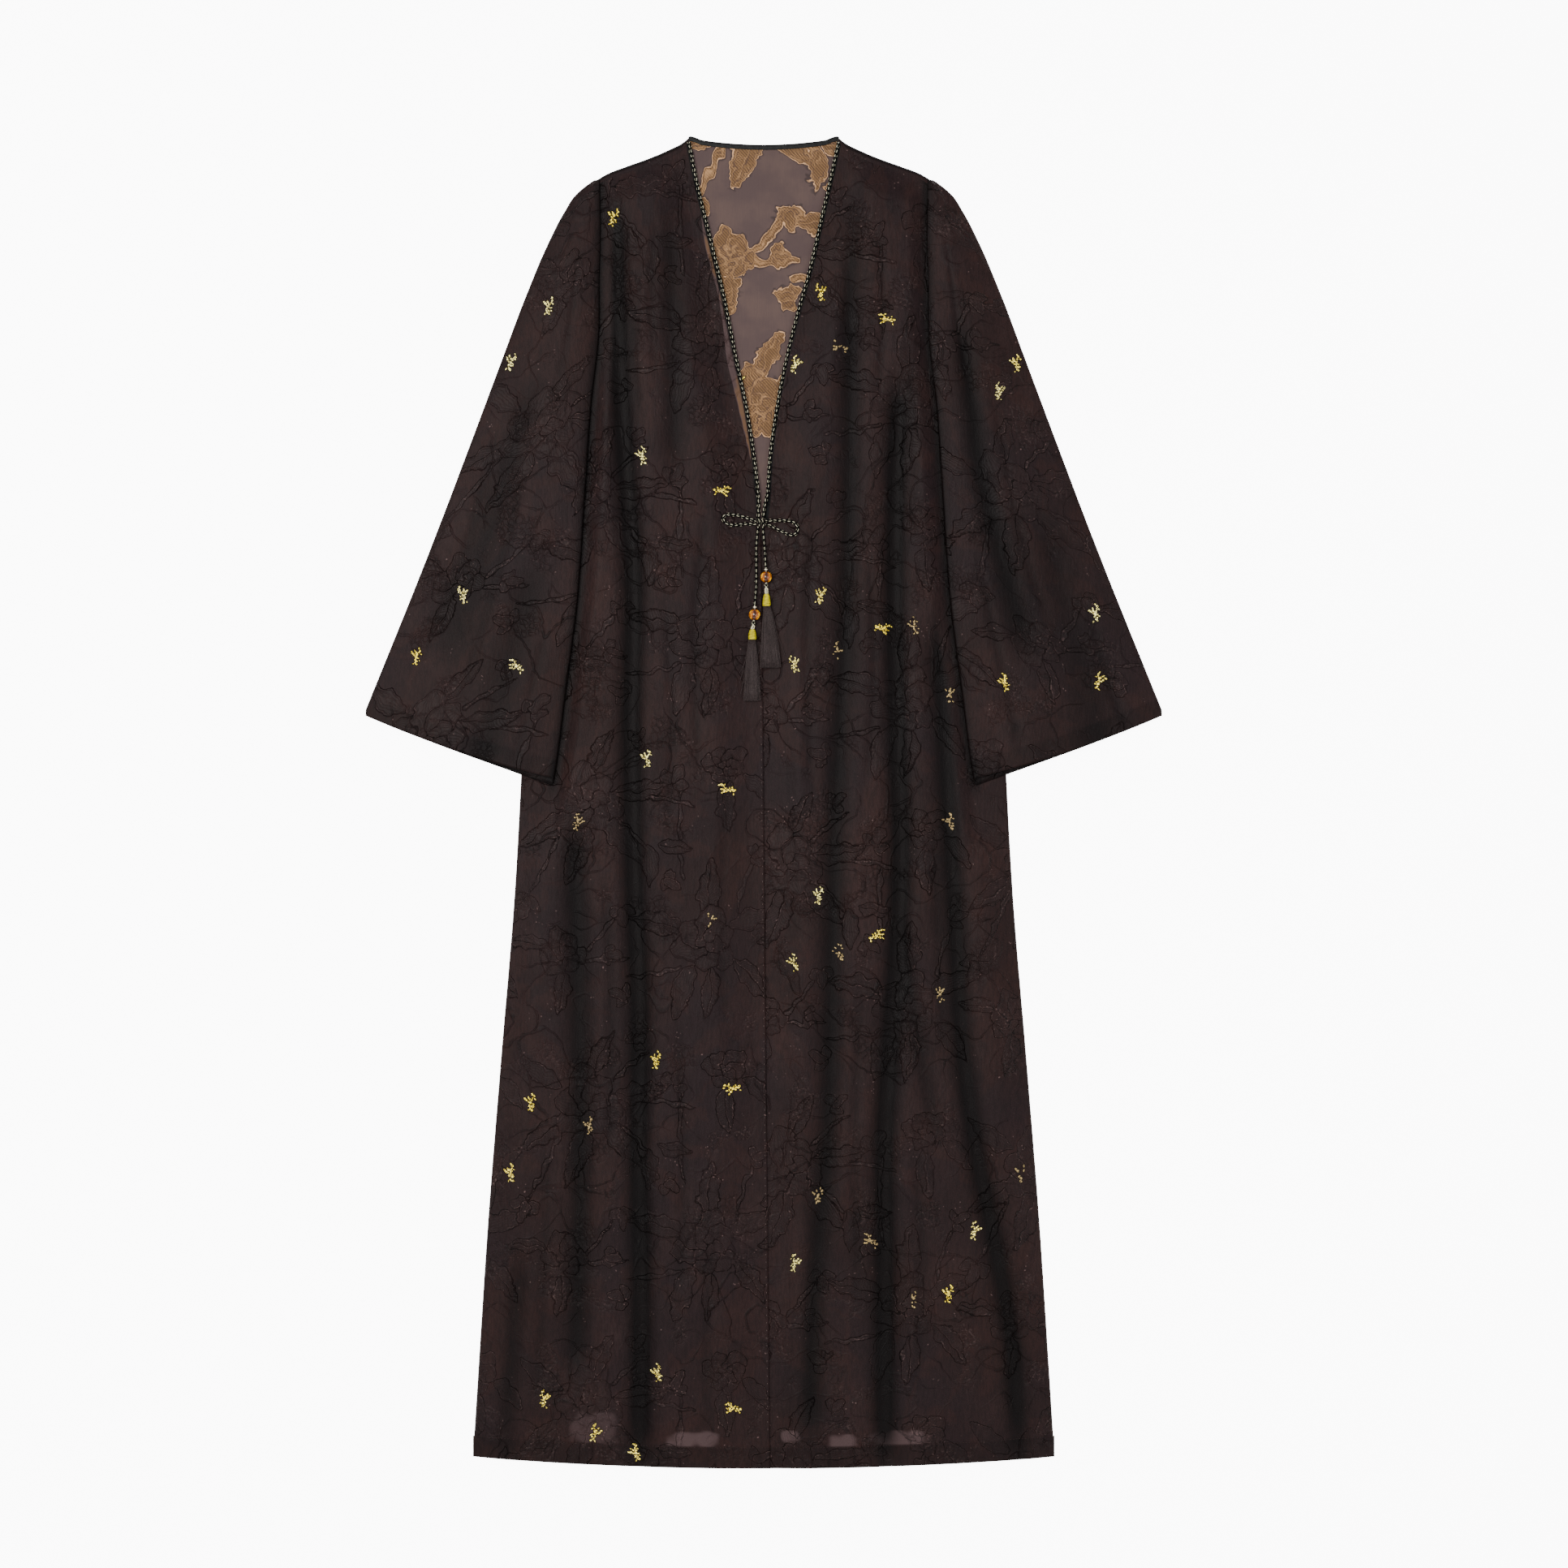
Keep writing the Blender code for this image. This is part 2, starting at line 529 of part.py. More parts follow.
def add_sleeve(name, side, folds, finish):
    """A flattened flared tube, open at the cuff and down the armhole."""
    rows = np.concatenate([ARMHOLE_ROWS, UNDER_SLEEVE_ROWS])
    outer_grid, inner_grid = [], []
    for row, row_drop in enumerate(rows):
        line, drop_at, shut = sleeve_section(row, float(row_drop), folds)
        near_cuff = float(ramp(CUFF - 60.0, CUFF, row_drop))
        for grid, distance in ((outer_grid, WALL / 2), (inner_grid, -WALL / 2)):
            moved = offset_line(line, shut, distance)
            drop = drop_at(moved[:, 0])
            part = (moved[:, 0].max() - moved[:, 0]) / np.ptp(moved[:, 0])
            drop = drop + UNDER_CUFF_SHOWS * near_cuff * line[:, 2] * part ** 3
            grid.append(np.stack([side * moved[:, 0] * MM, (LENGTH / 2 - drop) * MM,
                                  moved[:, 1] * MM], axis=-1))
    return add_wall(name, np.array(outer_grid), np.array(inner_grid), finish,
                    shut_from=len(ARMHOLE_ROWS) - 1)


# The tie

def cord_route(points):
    """Route of a cord that lies on the cloth, from its x, drop and added height."""
    return [(x, drop, lying_height(x, drop, CORD_RADIUS) + CORD_RADIUS + extra)
            for x, drop, extra in points]


def add_neck_cord(name, side, finish):
    """Twisted cord sewn along a front's edge, from the neck corner to the knot."""
    end = KNOT[1] - KNOT_SIZE[1] / 2 - SEAM
    drops = np.linspace(NECK_CORD_START, end, 26)
    edge = front_edge(side, drops)
    x = edge + (KNOT[0] + side * NECK_CORDS_APART - edge) * ramp(end - 30.0, end, drops)
    on_front = FRONT_LEVEL + WALL / 2 + LIE + CORD_RADIUS
    height = on_front + LAP_RISE * ramp(330.0, 385.0, drops)
    return add_tube(name, list(zip(x, drops, height)), CORD_RADIUS, finish, spacing=15.0)


def add_knot(finish):
    """The bow's knot, a rounded block that the cords meet on each side."""
    mesh = bpy.data.meshes.new("tie_knot")
    build = bmesh.new()
    bmesh.ops.create_cube(build, size=1.0)
    bmesh.ops.scale(build, vec=[size * MM for size in KNOT_SIZE], verts=build.verts)
    bmesh.ops.bevel(build, geom=build.edges, offset=1.5 * MM, segments=2, affect="EDGES",
                    profile=0.5)
    build.to_mesh(mesh)
    build.free()
    mesh.materials.append(finish)
    item = bpy.data.objects.new("tie_knot", mesh)
    base = lying_height(KNOT[0], KNOT[1], KNOT_SIZE[0] / 2)
    item.location = place(KNOT[0], KNOT[1], base + KNOT_SIZE[2] / 2)
    bpy.context.scene.collection.objects.link(item)
    return item


def add_tassel(name, root, end, finish):
    """Strands that fan out from the cells of a small oval head, fused to it at their roots."""
    root_x, root_drop, root_height, root_half, root_thick = root
    end_x, end_drop, end_height, end_half, end_thick = end
    head = TASSEL_HEAD
    columns, layers = STRANDS_ACROSS + 1, STRANDS_DEEP + 1
    points, faces = [], []

    def oval(u, v):
        """A square's point drawn in to an oval of half sizes 1."""
        return u * math.sqrt(1.0 - 0.5 * v * v), v * math.sqrt(1.0 - 0.5 * u * u)

    def root_point(u, v, drop):
        across, up = oval(u, v)
        return place(root_x + root_half * across, drop, root_height + root_thick * up)

    for drop in (root_drop, root_drop + head):
        for i in range(columns):
            for j in range(layers):
                u, v = 2.0 * i / STRANDS_ACROSS - 1.0, 2.0 * j / STRANDS_DEEP - 1.0
                points.append(root_point(u, v, drop))
    step = columns * layers
    around = ([i * layers for i in range(columns)]
              + [(columns - 1) * layers + j for j in range(1, layers)]
              + [i * layers + layers - 1 for i in range(columns - 2, -1, -1)]
              + [j for j in range(layers - 2, 0, -1)])
    for k, number in enumerate(around):
        after = around[(k + 1) % len(around)]
        faces.append((number, after, after + step, number + step))
    faces.append(tuple(reversed(around)))

    for i in range(STRANDS_ACROSS):
        for j in range(STRANDS_DEEP):
            cell = [(i, j), (i + 1, j), (i + 1, j + 1), (i, j + 1)]
            border = [step + a * layers + b for a, b in cell]
            u, v = (2 * i + 1) / STRANDS_ACROSS - 1.0, (2 * j + 1) / STRANDS_DEEP - 1.0
            wave = math.sin(3.1 * i + 2.3 * j)
            rings = [border]
            for share in (0.0, 0.4, 1.0):
                spread = share ** 0.85
                across, up = oval(u, v)
                x = ((root_x + root_half * across) * (1.0 - spread)
                     + (end_x + end_half * u) * spread)
                height = ((root_height + root_thick * up) * (1.0 - spread)
                          + (end_height + end_thick * v) * spread)
                drop = root_drop + head + (end_drop - root_drop - head) * share
                drop = drop - STRAND_UNEVEN * (1.0 - wave) * (share == 1.0)
                half_x = (0.5 * root_half * (1.0 - spread) + 0.64 * end_half * spread)
                half_x = half_x / STRANDS_ACROSS
                half_z = 0.55 * (root_thick * (1.0 - spread) + end_thick * spread) / STRANDS_DEEP
                ring = []
                for a, b in ((-1, -1), (1, -1), (1, 1), (-1, 1)):
                    ring.append(len(points))
                    points.append(place(x + a * half_x, drop, height + b * half_z))
                rings.append(ring)
            for one, two in zip(rings, rings[1:]):
                for k in range(4):
                    after = (k + 1) % 4
                    faces.append((one[k], one[after], two[after], two[k]))
            faces.append(tuple(rings[-1]))
    return add_mesh(name, points, faces, finish)


def add_tail_end(side_name, finishes):
    """Metal bead, amber bead, knot, thread loop, cap and tassel at the end of one tail."""
    sizes = TAIL_ENDS[side_name]
    amber_x, amber_drop = sizes["amber_bead"]
    amber_height = lying_height(amber_x, amber_drop, 3.0) + AMBER_RADIUS
    metal_x, metal_drop = sizes["metal_bead"]
    add_ball(f"{side_name}_metal_bead", metal_x, metal_drop, amber_height, *METAL_BEAD_HALF,
             finishes["metal"], sides=8, rings=6)
    add_ball(f"{side_name}_amber_bead", amber_x, amber_drop, amber_height, AMBER_RADIUS,
             AMBER_RADIUS, finishes["amber"], sides=14, rings=10)
    cap_x, cap_top, cap_end = sizes["cap"]
    cap_height = lying_height(cap_x, cap_end, CAP_RADIUS) + CAP_RADIUS
    knot_x, knot_drop = sizes["knot"]
    knot_height = 0.5 * (amber_height + cap_height)
    add_ball(f"{side_name}_tail_knot", knot_x, knot_drop, knot_height, TAIL_KNOT_RADIUS,
             TAIL_KNOT_RADIUS, finishes["cord"], sides=8, rings=6)
    loop_start = knot_drop + TAIL_KNOT_RADIUS + THREAD_RADIUS + SEAM
    loop_end = cap_top - SEAM
    half = 1.4
    middle_drop = 0.5 * (loop_start + loop_end)
    middle_x = 0.5 * (knot_x + cap_x)
    middle_height = 0.5 * (knot_height + cap_height)
    route = [(cap_x - half, loop_end, cap_height), (middle_x - half, middle_drop, middle_height),
             (knot_x - 0.6 * half, loop_start + 0.4, knot_height),
             (knot_x, loop_start, knot_height),
             (knot_x + 0.6 * half, loop_start + 0.4, knot_height),
             (middle_x + half, middle_drop, middle_height), (cap_x + half, loop_end, cap_height)]
    add_tube(f"{side_name}_tassel_loop", route, THREAD_RADIUS, finishes["yellow"],
             spacing=1.0, resolution=1)
    shape = ((0.0, CAP_TOP_RADIUS), (0.08, 2.9), (0.35, 3.5), (0.7, 4.0), (0.93, CAP_RADIUS),
             (1.0, 3.9))
    stations = [(cap_x, cap_top + (cap_end - cap_top) * share, cap_height, radius, radius)
                for share, radius in shape]
    add_loft(f"{side_name}_tassel_cap", stations, 12, finishes["yellow"])
    tassel_x, tassel_top, tassel_end, tassel_half, lean = sizes["tassel"]
    ground = max(lying_height(tassel_x + lean + across, drop, 2.0)
                 for across in (-tassel_half, 0.0, tassel_half)
                 for drop in (tassel_top + 20.0, tassel_end))
    root = (tassel_x, tassel_top, cap_height, *TASSEL_ROOT)
    end = (tassel_x + lean, tassel_end, ground + TASSEL_END_HEIGHT + 0.4, tassel_half,
           TASSEL_END_HEIGHT)
    add_tassel(f"{side_name}_tassel", root, end, finishes["strands"])


def main():
    for item in list(bpy.data.objects):
        bpy.data.objects.remove(item, do_unlink=True)
    cloth = material("organza", (0.020, 0.013, 0.013), 0.55)
    inner_cloth = material("organza_back", (0.16, 0.12, 0.10), 0.6)
    binding = material("binding", (0.005, 0.005, 0.005), 0.5)
    finishes = {
        "cord": material("twisted_cord", (0.10, 0.10, 0.085), 0.7),
        "metal": material("metal_bead", (0.75, 0.70, 0.58), 0.25, 1.0),
        "amber": material("amber", (0.42, 0.15, 0.02), 0.12),
        "yellow": material("yellow_thread", (0.40, 0.34, 0.05), 0.6),
        "strands": material("tassel_thread", (0.05, 0.043, 0.042), 0.6),
    }

    add_back(inner_cloth)
    add_front("left_front", -1, cloth)
    add_front("right_front", 1, cloth)
    add_sleeve("left_sleeve", -1, LEFT_SLEEVE_FOLDS, cloth)
    add_sleeve("right_sleeve", 1, RIGHT_SLEEVE_FOLDS, cloth)
    add_binding(binding)

    add_neck_cord("left_neck_cord", -1, finishes["cord"])
    add_neck_cord("right_neck_cord", 1, finishes["cord"])
    add_knot(finishes["cord"])
    for name, points in (("left_bow_loop", LEFT_LOOP), ("right_bow_loop", RIGHT_LOOP)):
        add_tube(name, cord_route(points), CORD_RADIUS, finishes["cord"], spacing=3.8)
    for name, points in (("left_tail", LEFT_TAIL), ("right_tail", RIGHT_TAIL)):
        add_tube(name, cord_route(points), CORD_RADIUS, finishes["cord"], spacing=8.0)
    for side_name in ("left", "right"):
        add_tail_end(side_name, finishes)


main()
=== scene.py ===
"""The looks of an open-front abaya that lies flat, face up, seen from straight above.

The frame: +X to the viewer's right, +Y up the garment towards the neck, +Z away from the
surface that it lies on. The tables are in millimetres. A "drop" is the distance down from
the neck corners, the garment's highest points, and x is the distance from its middle.
"""

import math

import bpy
import numpy as np
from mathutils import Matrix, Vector
from mathutils.kdtree import KDTree


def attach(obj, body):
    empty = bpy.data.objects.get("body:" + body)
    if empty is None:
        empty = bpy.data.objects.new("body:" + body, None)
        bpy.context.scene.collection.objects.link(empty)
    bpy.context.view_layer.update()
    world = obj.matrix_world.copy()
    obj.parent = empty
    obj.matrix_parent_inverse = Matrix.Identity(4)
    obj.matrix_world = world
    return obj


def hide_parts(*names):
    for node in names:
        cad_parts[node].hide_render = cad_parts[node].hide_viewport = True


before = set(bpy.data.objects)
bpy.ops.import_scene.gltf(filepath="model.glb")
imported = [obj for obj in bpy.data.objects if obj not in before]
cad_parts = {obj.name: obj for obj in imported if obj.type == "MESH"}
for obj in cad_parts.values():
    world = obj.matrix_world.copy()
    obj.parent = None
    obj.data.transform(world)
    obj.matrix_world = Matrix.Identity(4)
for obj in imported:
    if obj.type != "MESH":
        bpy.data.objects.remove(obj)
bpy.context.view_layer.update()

# Driving sizes, in millimetres, as in the part's own construction
MM = 0.001
LENGTH = 1400.0
WALL = 1.2
SEAM = 0.3
LIE = 0.45
NECK_HALF = 78.1
SHOULDER_HALF = 174.9
SEAM_BELOW_SHOULDER_FOLD = 5.0
HEM_HALF = 305.9
HEM_CORNER = 1387.6
HEM_RISE = LENGTH - HEM_CORNER
ARMHOLE_TOP = 45.2
ARMPIT = 286.7
CUFF = 667.3
CUFF_SLOPE = 0.332
CUFF_SAG = 5.0
UNDER_CUFF_SHOWS = 8.5
CORD_RADIUS = 1.8
NECK_CORD_START = 5.4
NECK_CORDS_APART = 2.6
BACK_LEVEL = WALL / 2
FRONT_LEVEL = BACK_LEVEL + WALL + SEAM
OVER_FRONT_LEVEL = FRONT_LEVEL + WALL + SEAM
LAP_RISE = WALL + SEAM
FRONT_CROWN = 6.0
SLEEVE_CROWN = 3.4
FOLD_END = 70.0
FREE_START = 46.0
FREE_END = 100.0
HEM_CALM = 60.0
HEM_CALMER = 0.45
CROWN_FROM_EDGE = (12.0, 52.0)
CROWN_FROM_SHOULDER = (4.0, 40.0)
CROWN_FROM_SLEEVE = 19.0
CROWN_FROM_SIDE = 34.0
SLEEVE_COVERS = 2.0
LAP_START = (360.0, 400.0)
LAP_FADE = (16.0, 44.0)
BACK_NECK_TOP = 1.9
BACK_NECK_DIP = 7.0
NECK_CORNER_REACH = 14.0

# Half widths: drop, x
SHOULDER = ((78.1, 0), (84.5, 5.1), (101.1, 13.7), (121.2, 22.2),
            (144.7, 30.7), (166.4, 39.3), (174.9, 44.4))
SLEEVE_OUTER = ((44, 177), (52.1, 188.5), (60.6, 198), (77.7, 209.4), (111.8, 227),
                (163, 248.8), (239.8, 277.8), (325.1, 309.8), (453.2, 358.4),
                (581.2, 408.8), (606.8, 419))
ARMHOLE = ((44.4, 174.9), (77.7, 174.3), (120.3, 176.6), (163, 183.5), (197.1, 192.9),
           (231.3, 207.4), (261.1, 224.4), (286.7, 242.4))
SIDE_SEAM = ((286.7, 242.4), (367.8, 245), (670.8, 255.2), (794.5, 262), (965.2, 276.1),
             (1135.9, 289.7), (1306.6, 300.8), (1387.6, 305.9))
SLEEVE_INNER = ((44, 172.2), (111.8, 171.6), (145.9, 172.6), (205.7, 173), (282.5, 181.2),
                (367.8, 187), (495.8, 196.2), (581.2, 207), (658, 217),
                (690, 222.5), (900, 232), (1387.6, 252))

# Front edges: drop, x. The viewer's left front laps over the right one below the tie.
LEFT_OPENING = ((3.4, -79), (45.2, -70.8), (105.8, -56.3), (163, -42.7), (227.9, -29.9),
                (285, -17.9), (347.3, -8.5), (388.3, -4.6), (420, -3.2), (590, -0.9),
                (880, 1.7), (1400, 6.8))
RIGHT_OPENING = ((3.4, 79), (48.6, 69.1), (97.3, 58), (143.4, 47.4), (179.2, 37.2),
                 (225.3, 25.6), (279.9, 14.5), (333.7, 6.8), (388.3, 2.6), (412, -1),
                 (445, -10), (500, -11.6), (590, -11.4), (880, -8.6), (1400, -3.4))

OPENING = {-1: LEFT_OPENING, 1: RIGHT_OPENING}

# The back hem hangs a little shorter and uneven: x, drop
BACK_HEM = ((-305.9, 1386), (-250, 1372), (-205, 1347), (-175, 1339),
            (-145, 1347), (-100, 1358), (0, 1362), (90, 1357),
            (140, 1352), (185, 1356), (225, 1370), (305.9, 1386))

# Long folds of each front: depth, half width, then the drop and x of points down the fold
LEFT_FOLDS = (
    (3, 13, ((50, -97), (200, -95), (380, -92))),
    (5.6, 13, ((40, -158), (197, -153), (333.7, -145.9), (453, -137.4),
                 (623.8, -139.1), (794.5, -135.7), (922.5, -130.6), (1050.5, -131.4),
                 (1221, -128.9), (1430, -131.4))),
    (4, 14, ((690, -201.4), (965, -192.9), (1136, -192.9), (1330, -199))),
    (3, 12, ((1150, -254), (1430, -277))),
)
RIGHT_FOLDS = (
    (4, 13, ((20, 88), (282.5, 91.3), (495.8, 87), (709, 76), (880, 71.7),
                 (1050.5, 67.4), (1221, 52.9), (1400, 49))),
    (5.6, 13, ((230, 143), (410.5, 138.2), (623.8, 140), (751.8, 144.2),
                 (922.5, 135.7), (1050.5, 127.2), (1178.5, 127.2), (1430, 127.2))),
    (2.6, 10, ((820, 143), (965, 165.6), (1080, 188))),
    (4.8, 13, ((480, 182), (794.5, 199.7), (990.8, 212.5), (1076, 225.3),
                 (1161, 242.4), (1255, 259.4), (1430, 270))),
)

FOLDS = {-1: LEFT_FOLDS, 1: RIGHT_FOLDS}

# Long folds of each sleeve: depth, half width, then the drop and the share of the width
# from the outer edge
LEFT_SLEEVE_FOLDS = (
    (1.8, 0.12, ((230, 0.40), (420, 0.34), (600, 0.30))),
    (2, 0.10, ((420, 0.72), (560, 0.66), (720, 0.62))),
)
RIGHT_SLEEVE_FOLDS = (
    (2.8, 0.11, ((170, 0.58), (330, 0.68), (453, 0.62), (580, 0.57))),
    (1.6, 0.12, ((380, 0.28), (560, 0.30), (720, 0.34))),
)

# Finer creases that the thin cloth keeps, in the same columns as the long folds
LEFT_CREASES = (
    (1, 5, ((120, -128), (210, -136), (330, -126))),
    (0.8, 5, ((60, -112), (160, -118), (280, -112))),
    (1.1, 6, ((380, -60), (520, -72), (700, -66))),
    (0.9, 5, ((470, -104), (620, -96), (760, -101))),
    (0.9, 7, ((640, -34), (800, -44), (960, -40))),
    (1.2, 6, ((760, -168), (900, -160), (1100, -163))),
    (1, 6, ((900, -92), (1080, -84), (1240, -90))),
    (1, 7, ((1040, -226), (1200, -232), (1360, -240))),
    (0.9, 6, ((1120, -52), (1260, -60), (1390, -58))),
)
RIGHT_CREASES = (
    (1, 5, ((70, 118), (170, 126), (300, 118))),
    (0.9, 5, ((180, 150), (300, 158), (420, 160))),
    (1, 6, ((380, 52), (540, 46), (720, 52))),
    (1, 5, ((420, 110), (560, 116), (700, 108))),
    (0.8, 6, ((620, 24), (780, 32), (960, 28))),
    (1.1, 6, ((700, 176), (860, 184), (1000, 190))),
    (1.1, 6, ((880, 102), (1060, 96), (1240, 100))),
    (1, 6, ((1020, 156), (1180, 166), (1340, 160))),
    (0.9, 7, ((1120, 20), (1260, 26), (1390, 22))),
)

CREASES = {-1: LEFT_CREASES, 1: RIGHT_CREASES}

# The tie: x, drop and what it adds to the height of a cord that lies on the cloth
KNOT = (-3, 405.4)
KNOT_SIZE = (9, 7.4, 5.2)
LEFT_LOOP = ((-8, 403.9, 2.6), (-13, 402.2, 2.4), (-19.4, 400.2, 1.6), (-27.9, 398, 0.7),
             (-34.7, 397.2, 0.2), (-40, 397.8, 0), (-43, 400.4, 0), (-41.6, 403.8, 0),
             (-38, 406.8, 0), (-33, 408.2, 0), (-27.6, 407.9, 0), (-20.7, 407, 0),
             (-14, 406.9, 0), (-8, 407, 0))
RIGHT_LOOP = ((2, 403.9, 2.6), (6, 403.5, 2.4), (10.7, 403.4, 1.6), (19.1, 403.2, 0.6),
              (27, 403.8, 0.1), (32.9, 406.4, 0), (35.8, 411.4, 0), (34.8, 416.2, 0),
              (29.6, 418.6, 0), (21.8, 416, 0), (14.5, 412.6, 0), (8, 409, 0),
              (2, 407.2, 0))
LEFT_TAIL = ((-6, 409.5, 0.4), (-6.9, 418, 0), (-7.7, 430, 0), (-7.9, 446, 0),
             (-7.8, 462, 0), (-8.2, 476, 1.2), (-9, 486, 3.4), (-9.4, 492.4, 4.4))
RIGHT_TAIL = ((-1.2, 409.5, 0.4), (-0.5, 416, 0), (0.4, 426, 0), (1.2, 436, 0.6),
              (1.7, 445, 2.8), (2.2, 452.9, 4.4))
TAIL_ENDS = {
    # x and drop of the beads and knots; the cap's x, top and end; and the tassel's x, top,
    # end, half width and lean
    "left": {"metal_bead": (-9.4, 494.5), "amber_bead": (-9.6, 502.3), "knot": (-10.8, 510.8),
             "cap": (-11.9, 517.8, 528.4), "tassel": (-12.4, 528.7, 593, 9.8, 0)},
    "right": {"metal_bead": (2.3, 454.9), "amber_bead": (2.6, 462.7), "knot": (2.7, 471.2),
              "cap": (3, 480.4, 493.2), "tassel": (3.3, 493.5, 558, 12.6, 4.2)},
}
AMBER_RADIUS = 6.0
METAL_BEAD_HALF = (2.3, 1.45)
TAIL_KNOT_RADIUS = 2.1
THREAD_RADIUS = 0.45
CAP_RADIUS = 4.2
TASSEL_END_HEIGHT = 2.4
THREAD_SPREAD = 1.4

# Gold sprigs, woven in: photo pixels of each one and its strength
PIXEL = 0.8534
MIDDLE_PIXEL = 941.0
TOP_PIXEL = 169.0
SPRIGS = {
    "left_sleeve": ((676, 379, 0.9), (629, 447, 1), (571, 734, 1), (513, 810, 1),
                    (637, 822, 0.9)),
    "right_sleeve": ((1252, 449, 1), (1231, 484, 0.8), (1349, 757, 1), (1237, 842, 1),
                     (1354, 840, 0.7)),
    "left_front": ((755, 269, 0.9), (791, 563, 1), (889, 605, 1), (797, 936, 0.8),
                   (897, 973, 0.8), (712, 1014, 0.6), (808, 1307, 0.8), (903, 1341, 0.9),
                   (654, 1359, 1), (726, 1388, 0.5), (629, 1446, 0.8), (810, 1692, 1),
                   (904, 1735, 0.9), (671, 1724, 0.9), (733, 1766, 0.7), (783, 1791, 0.9),
                   (875, 1135, 0.3)),
    "right_front": ((1012, 361, 1), (1093, 394, 1), (980, 450, 1), (1035, 428, 0.3),
                    (1010, 735, 1), (1087, 774, 0.9), (979, 819, 0.9), (1032, 803, 0.3),
                    (1126, 772, 0.3), (1170, 856, 0.4), (1170, 1014, 0.4), (1008, 1104, 0.9),
                    (1080, 1153, 0.8), (978, 1187, 0.9), (1034, 1175, 0.3), (1158, 1225, 0.3),
                    (1007, 1475, 0.5), (1073, 1529, 0.6), (979, 1557, 0.9), (1201, 1517, 0.8),
                    (1168, 1595, 0.8), (1125, 1602, 0.3), (1257, 1447, 0.3)),
    "back": ((909, 470, 0.9),),
}

# How the thin cloth lies on its walls, how its edges are turned, how fine its grids are, and
# between which drops their rows are even
CLOTH_UP = 0.45
BACK_UP = 0.3
NECK_CORNER = 3.4
HEM_TURN = 22.0
CUFF_TURN = 20.0
FRONT_TURN = 6.0
HEM_SAG_REACH = 42.0
EVEN_EDGE = (330.0, 1100.0)
EVEN_FRONT = (150.0, 1250.0)
EVEN_BACK = (170.0, 1000.0)
SIDE_ROLL = 3.4
SIDE_LEVEL = 0.95
FRONT_SPACING = 2.12
FRONT_NEAR = 124
FRONT_FAR = 24
BACK_UPPER = 262
BACK_LOWER = 90
FINE_ROWS_END = 430.0
BACK_MIDDLE = 112
BACK_SIDE = 22
MIDDLE_SHARE = 0.47
SLEEVE_ROWS = 280
TUCK, INNER_FOLD, UPPER, OUTER_FOLD, LOWER = 8, 9, 128, 9, 24
SLEEVE_OUT = 0.45
OUTER_FOLD_RADIUS = 1.2
FOOT_REACH = 16.0
INNER_FOLD_RADIUS = 0.85
INNER_FOLD_OPENS = 1.5
TUCK_PAST_SEAM = 1.6
FRONT_SEEDS = {-1: 11, 1: 21}
SLEEVE_SEEDS = {-1: 50, 1: 52}

# Distance from the edge and depth of the rows that turn under, and the rise of the shoulder roll
HEM_LAYERS = ((0, 0.4), (0.5, 0.75), (4, 0.8), (9, 0.8), (15, 0.8), (HEM_TURN, 0.8))
EDGE_LAYERS = ((FRONT_TURN, 0.8), (3, 0.8), (0.5, 0.72), (0, 0.38))
CUFF_LAYERS = ((0, 0), (0.6, -0.35), (4, -0.4), (12, -0.4), (CUFF_TURN, -0.4))
BACK_ROLL = ((0, 0.7), (0.07, 1.55), (0.28, 2.45), (0.58, 2.85), (1, 2.95))

# Where each piece is cut from the figure's repeat, and where the tan figures end on the back
FIGURE_SHIFT = {-1: (0, 22), 1: (52, -44)}
BACK_SHIFT = (86, 120)
SLEEVE_SHIFT = {-1: (12, 96), 1: (144, 30)}
SLEEVE_THROUGH = (131, 77)
HEM_SHIFT = 40.0
TAN_END = 308.0
TRIM_BAND = (3.9, 3.0)

# Where the ground along the opening is a bare sheer band: drop, width
STRIPS = {
    -1: ((50, 0), (75, 2.4), (103, 6.4), (170, 6), (195, 6.8), (230, 9.6),
         (270, 9.2), (300, 7.6), (340, 4), (380, 0)),
    1: ((50, 0), (90, 2.2), (200, 2.8), (330, 2.8), (390, 0)),
}
STRIPS_END = 395.0
STRIP_SHEER = 0.78

# Sheerest places of the fronts: x, drop, half width, half height, strength
WINDOWS = ((-178, 1357, 28, 19, 0.3), (-73, 1369, 31, 9, 0.46),
           (28, 1366, 10, 7, 0.42), (84, 1371, 18, 8, 0.44),
           (144, 1368, 32, 9, 0.46))

# Creases of the sleeves, with their width and place as shares of the sleeve's width
SLEEVE_CREASES = {
    -1: ((0.6, 0.045, ((90, 0.60), (180, 0.66), (290, 0.62))),
         (0.8, 0.040, ((300, 0.18), (450, 0.22), (600, 0.16))),
         (0.9, 0.035, ((330, 0.52), (470, 0.47), (640, 0.45))),
         (0.8, 0.030, ((480, 0.86), (580, 0.82), (690, 0.80)))),
    1: ((0.6, 0.045, ((80, 0.62), (170, 0.66), (280, 0.64))),
        (0.8, 0.040, ((260, 0.44), (400, 0.47), (560, 0.42))),
        (0.9, 0.035, ((420, 0.80), (540, 0.76), (680, 0.74))),
        (0.8, 0.030, ((500, 0.16), (600, 0.20), (700, 0.18)))),
}

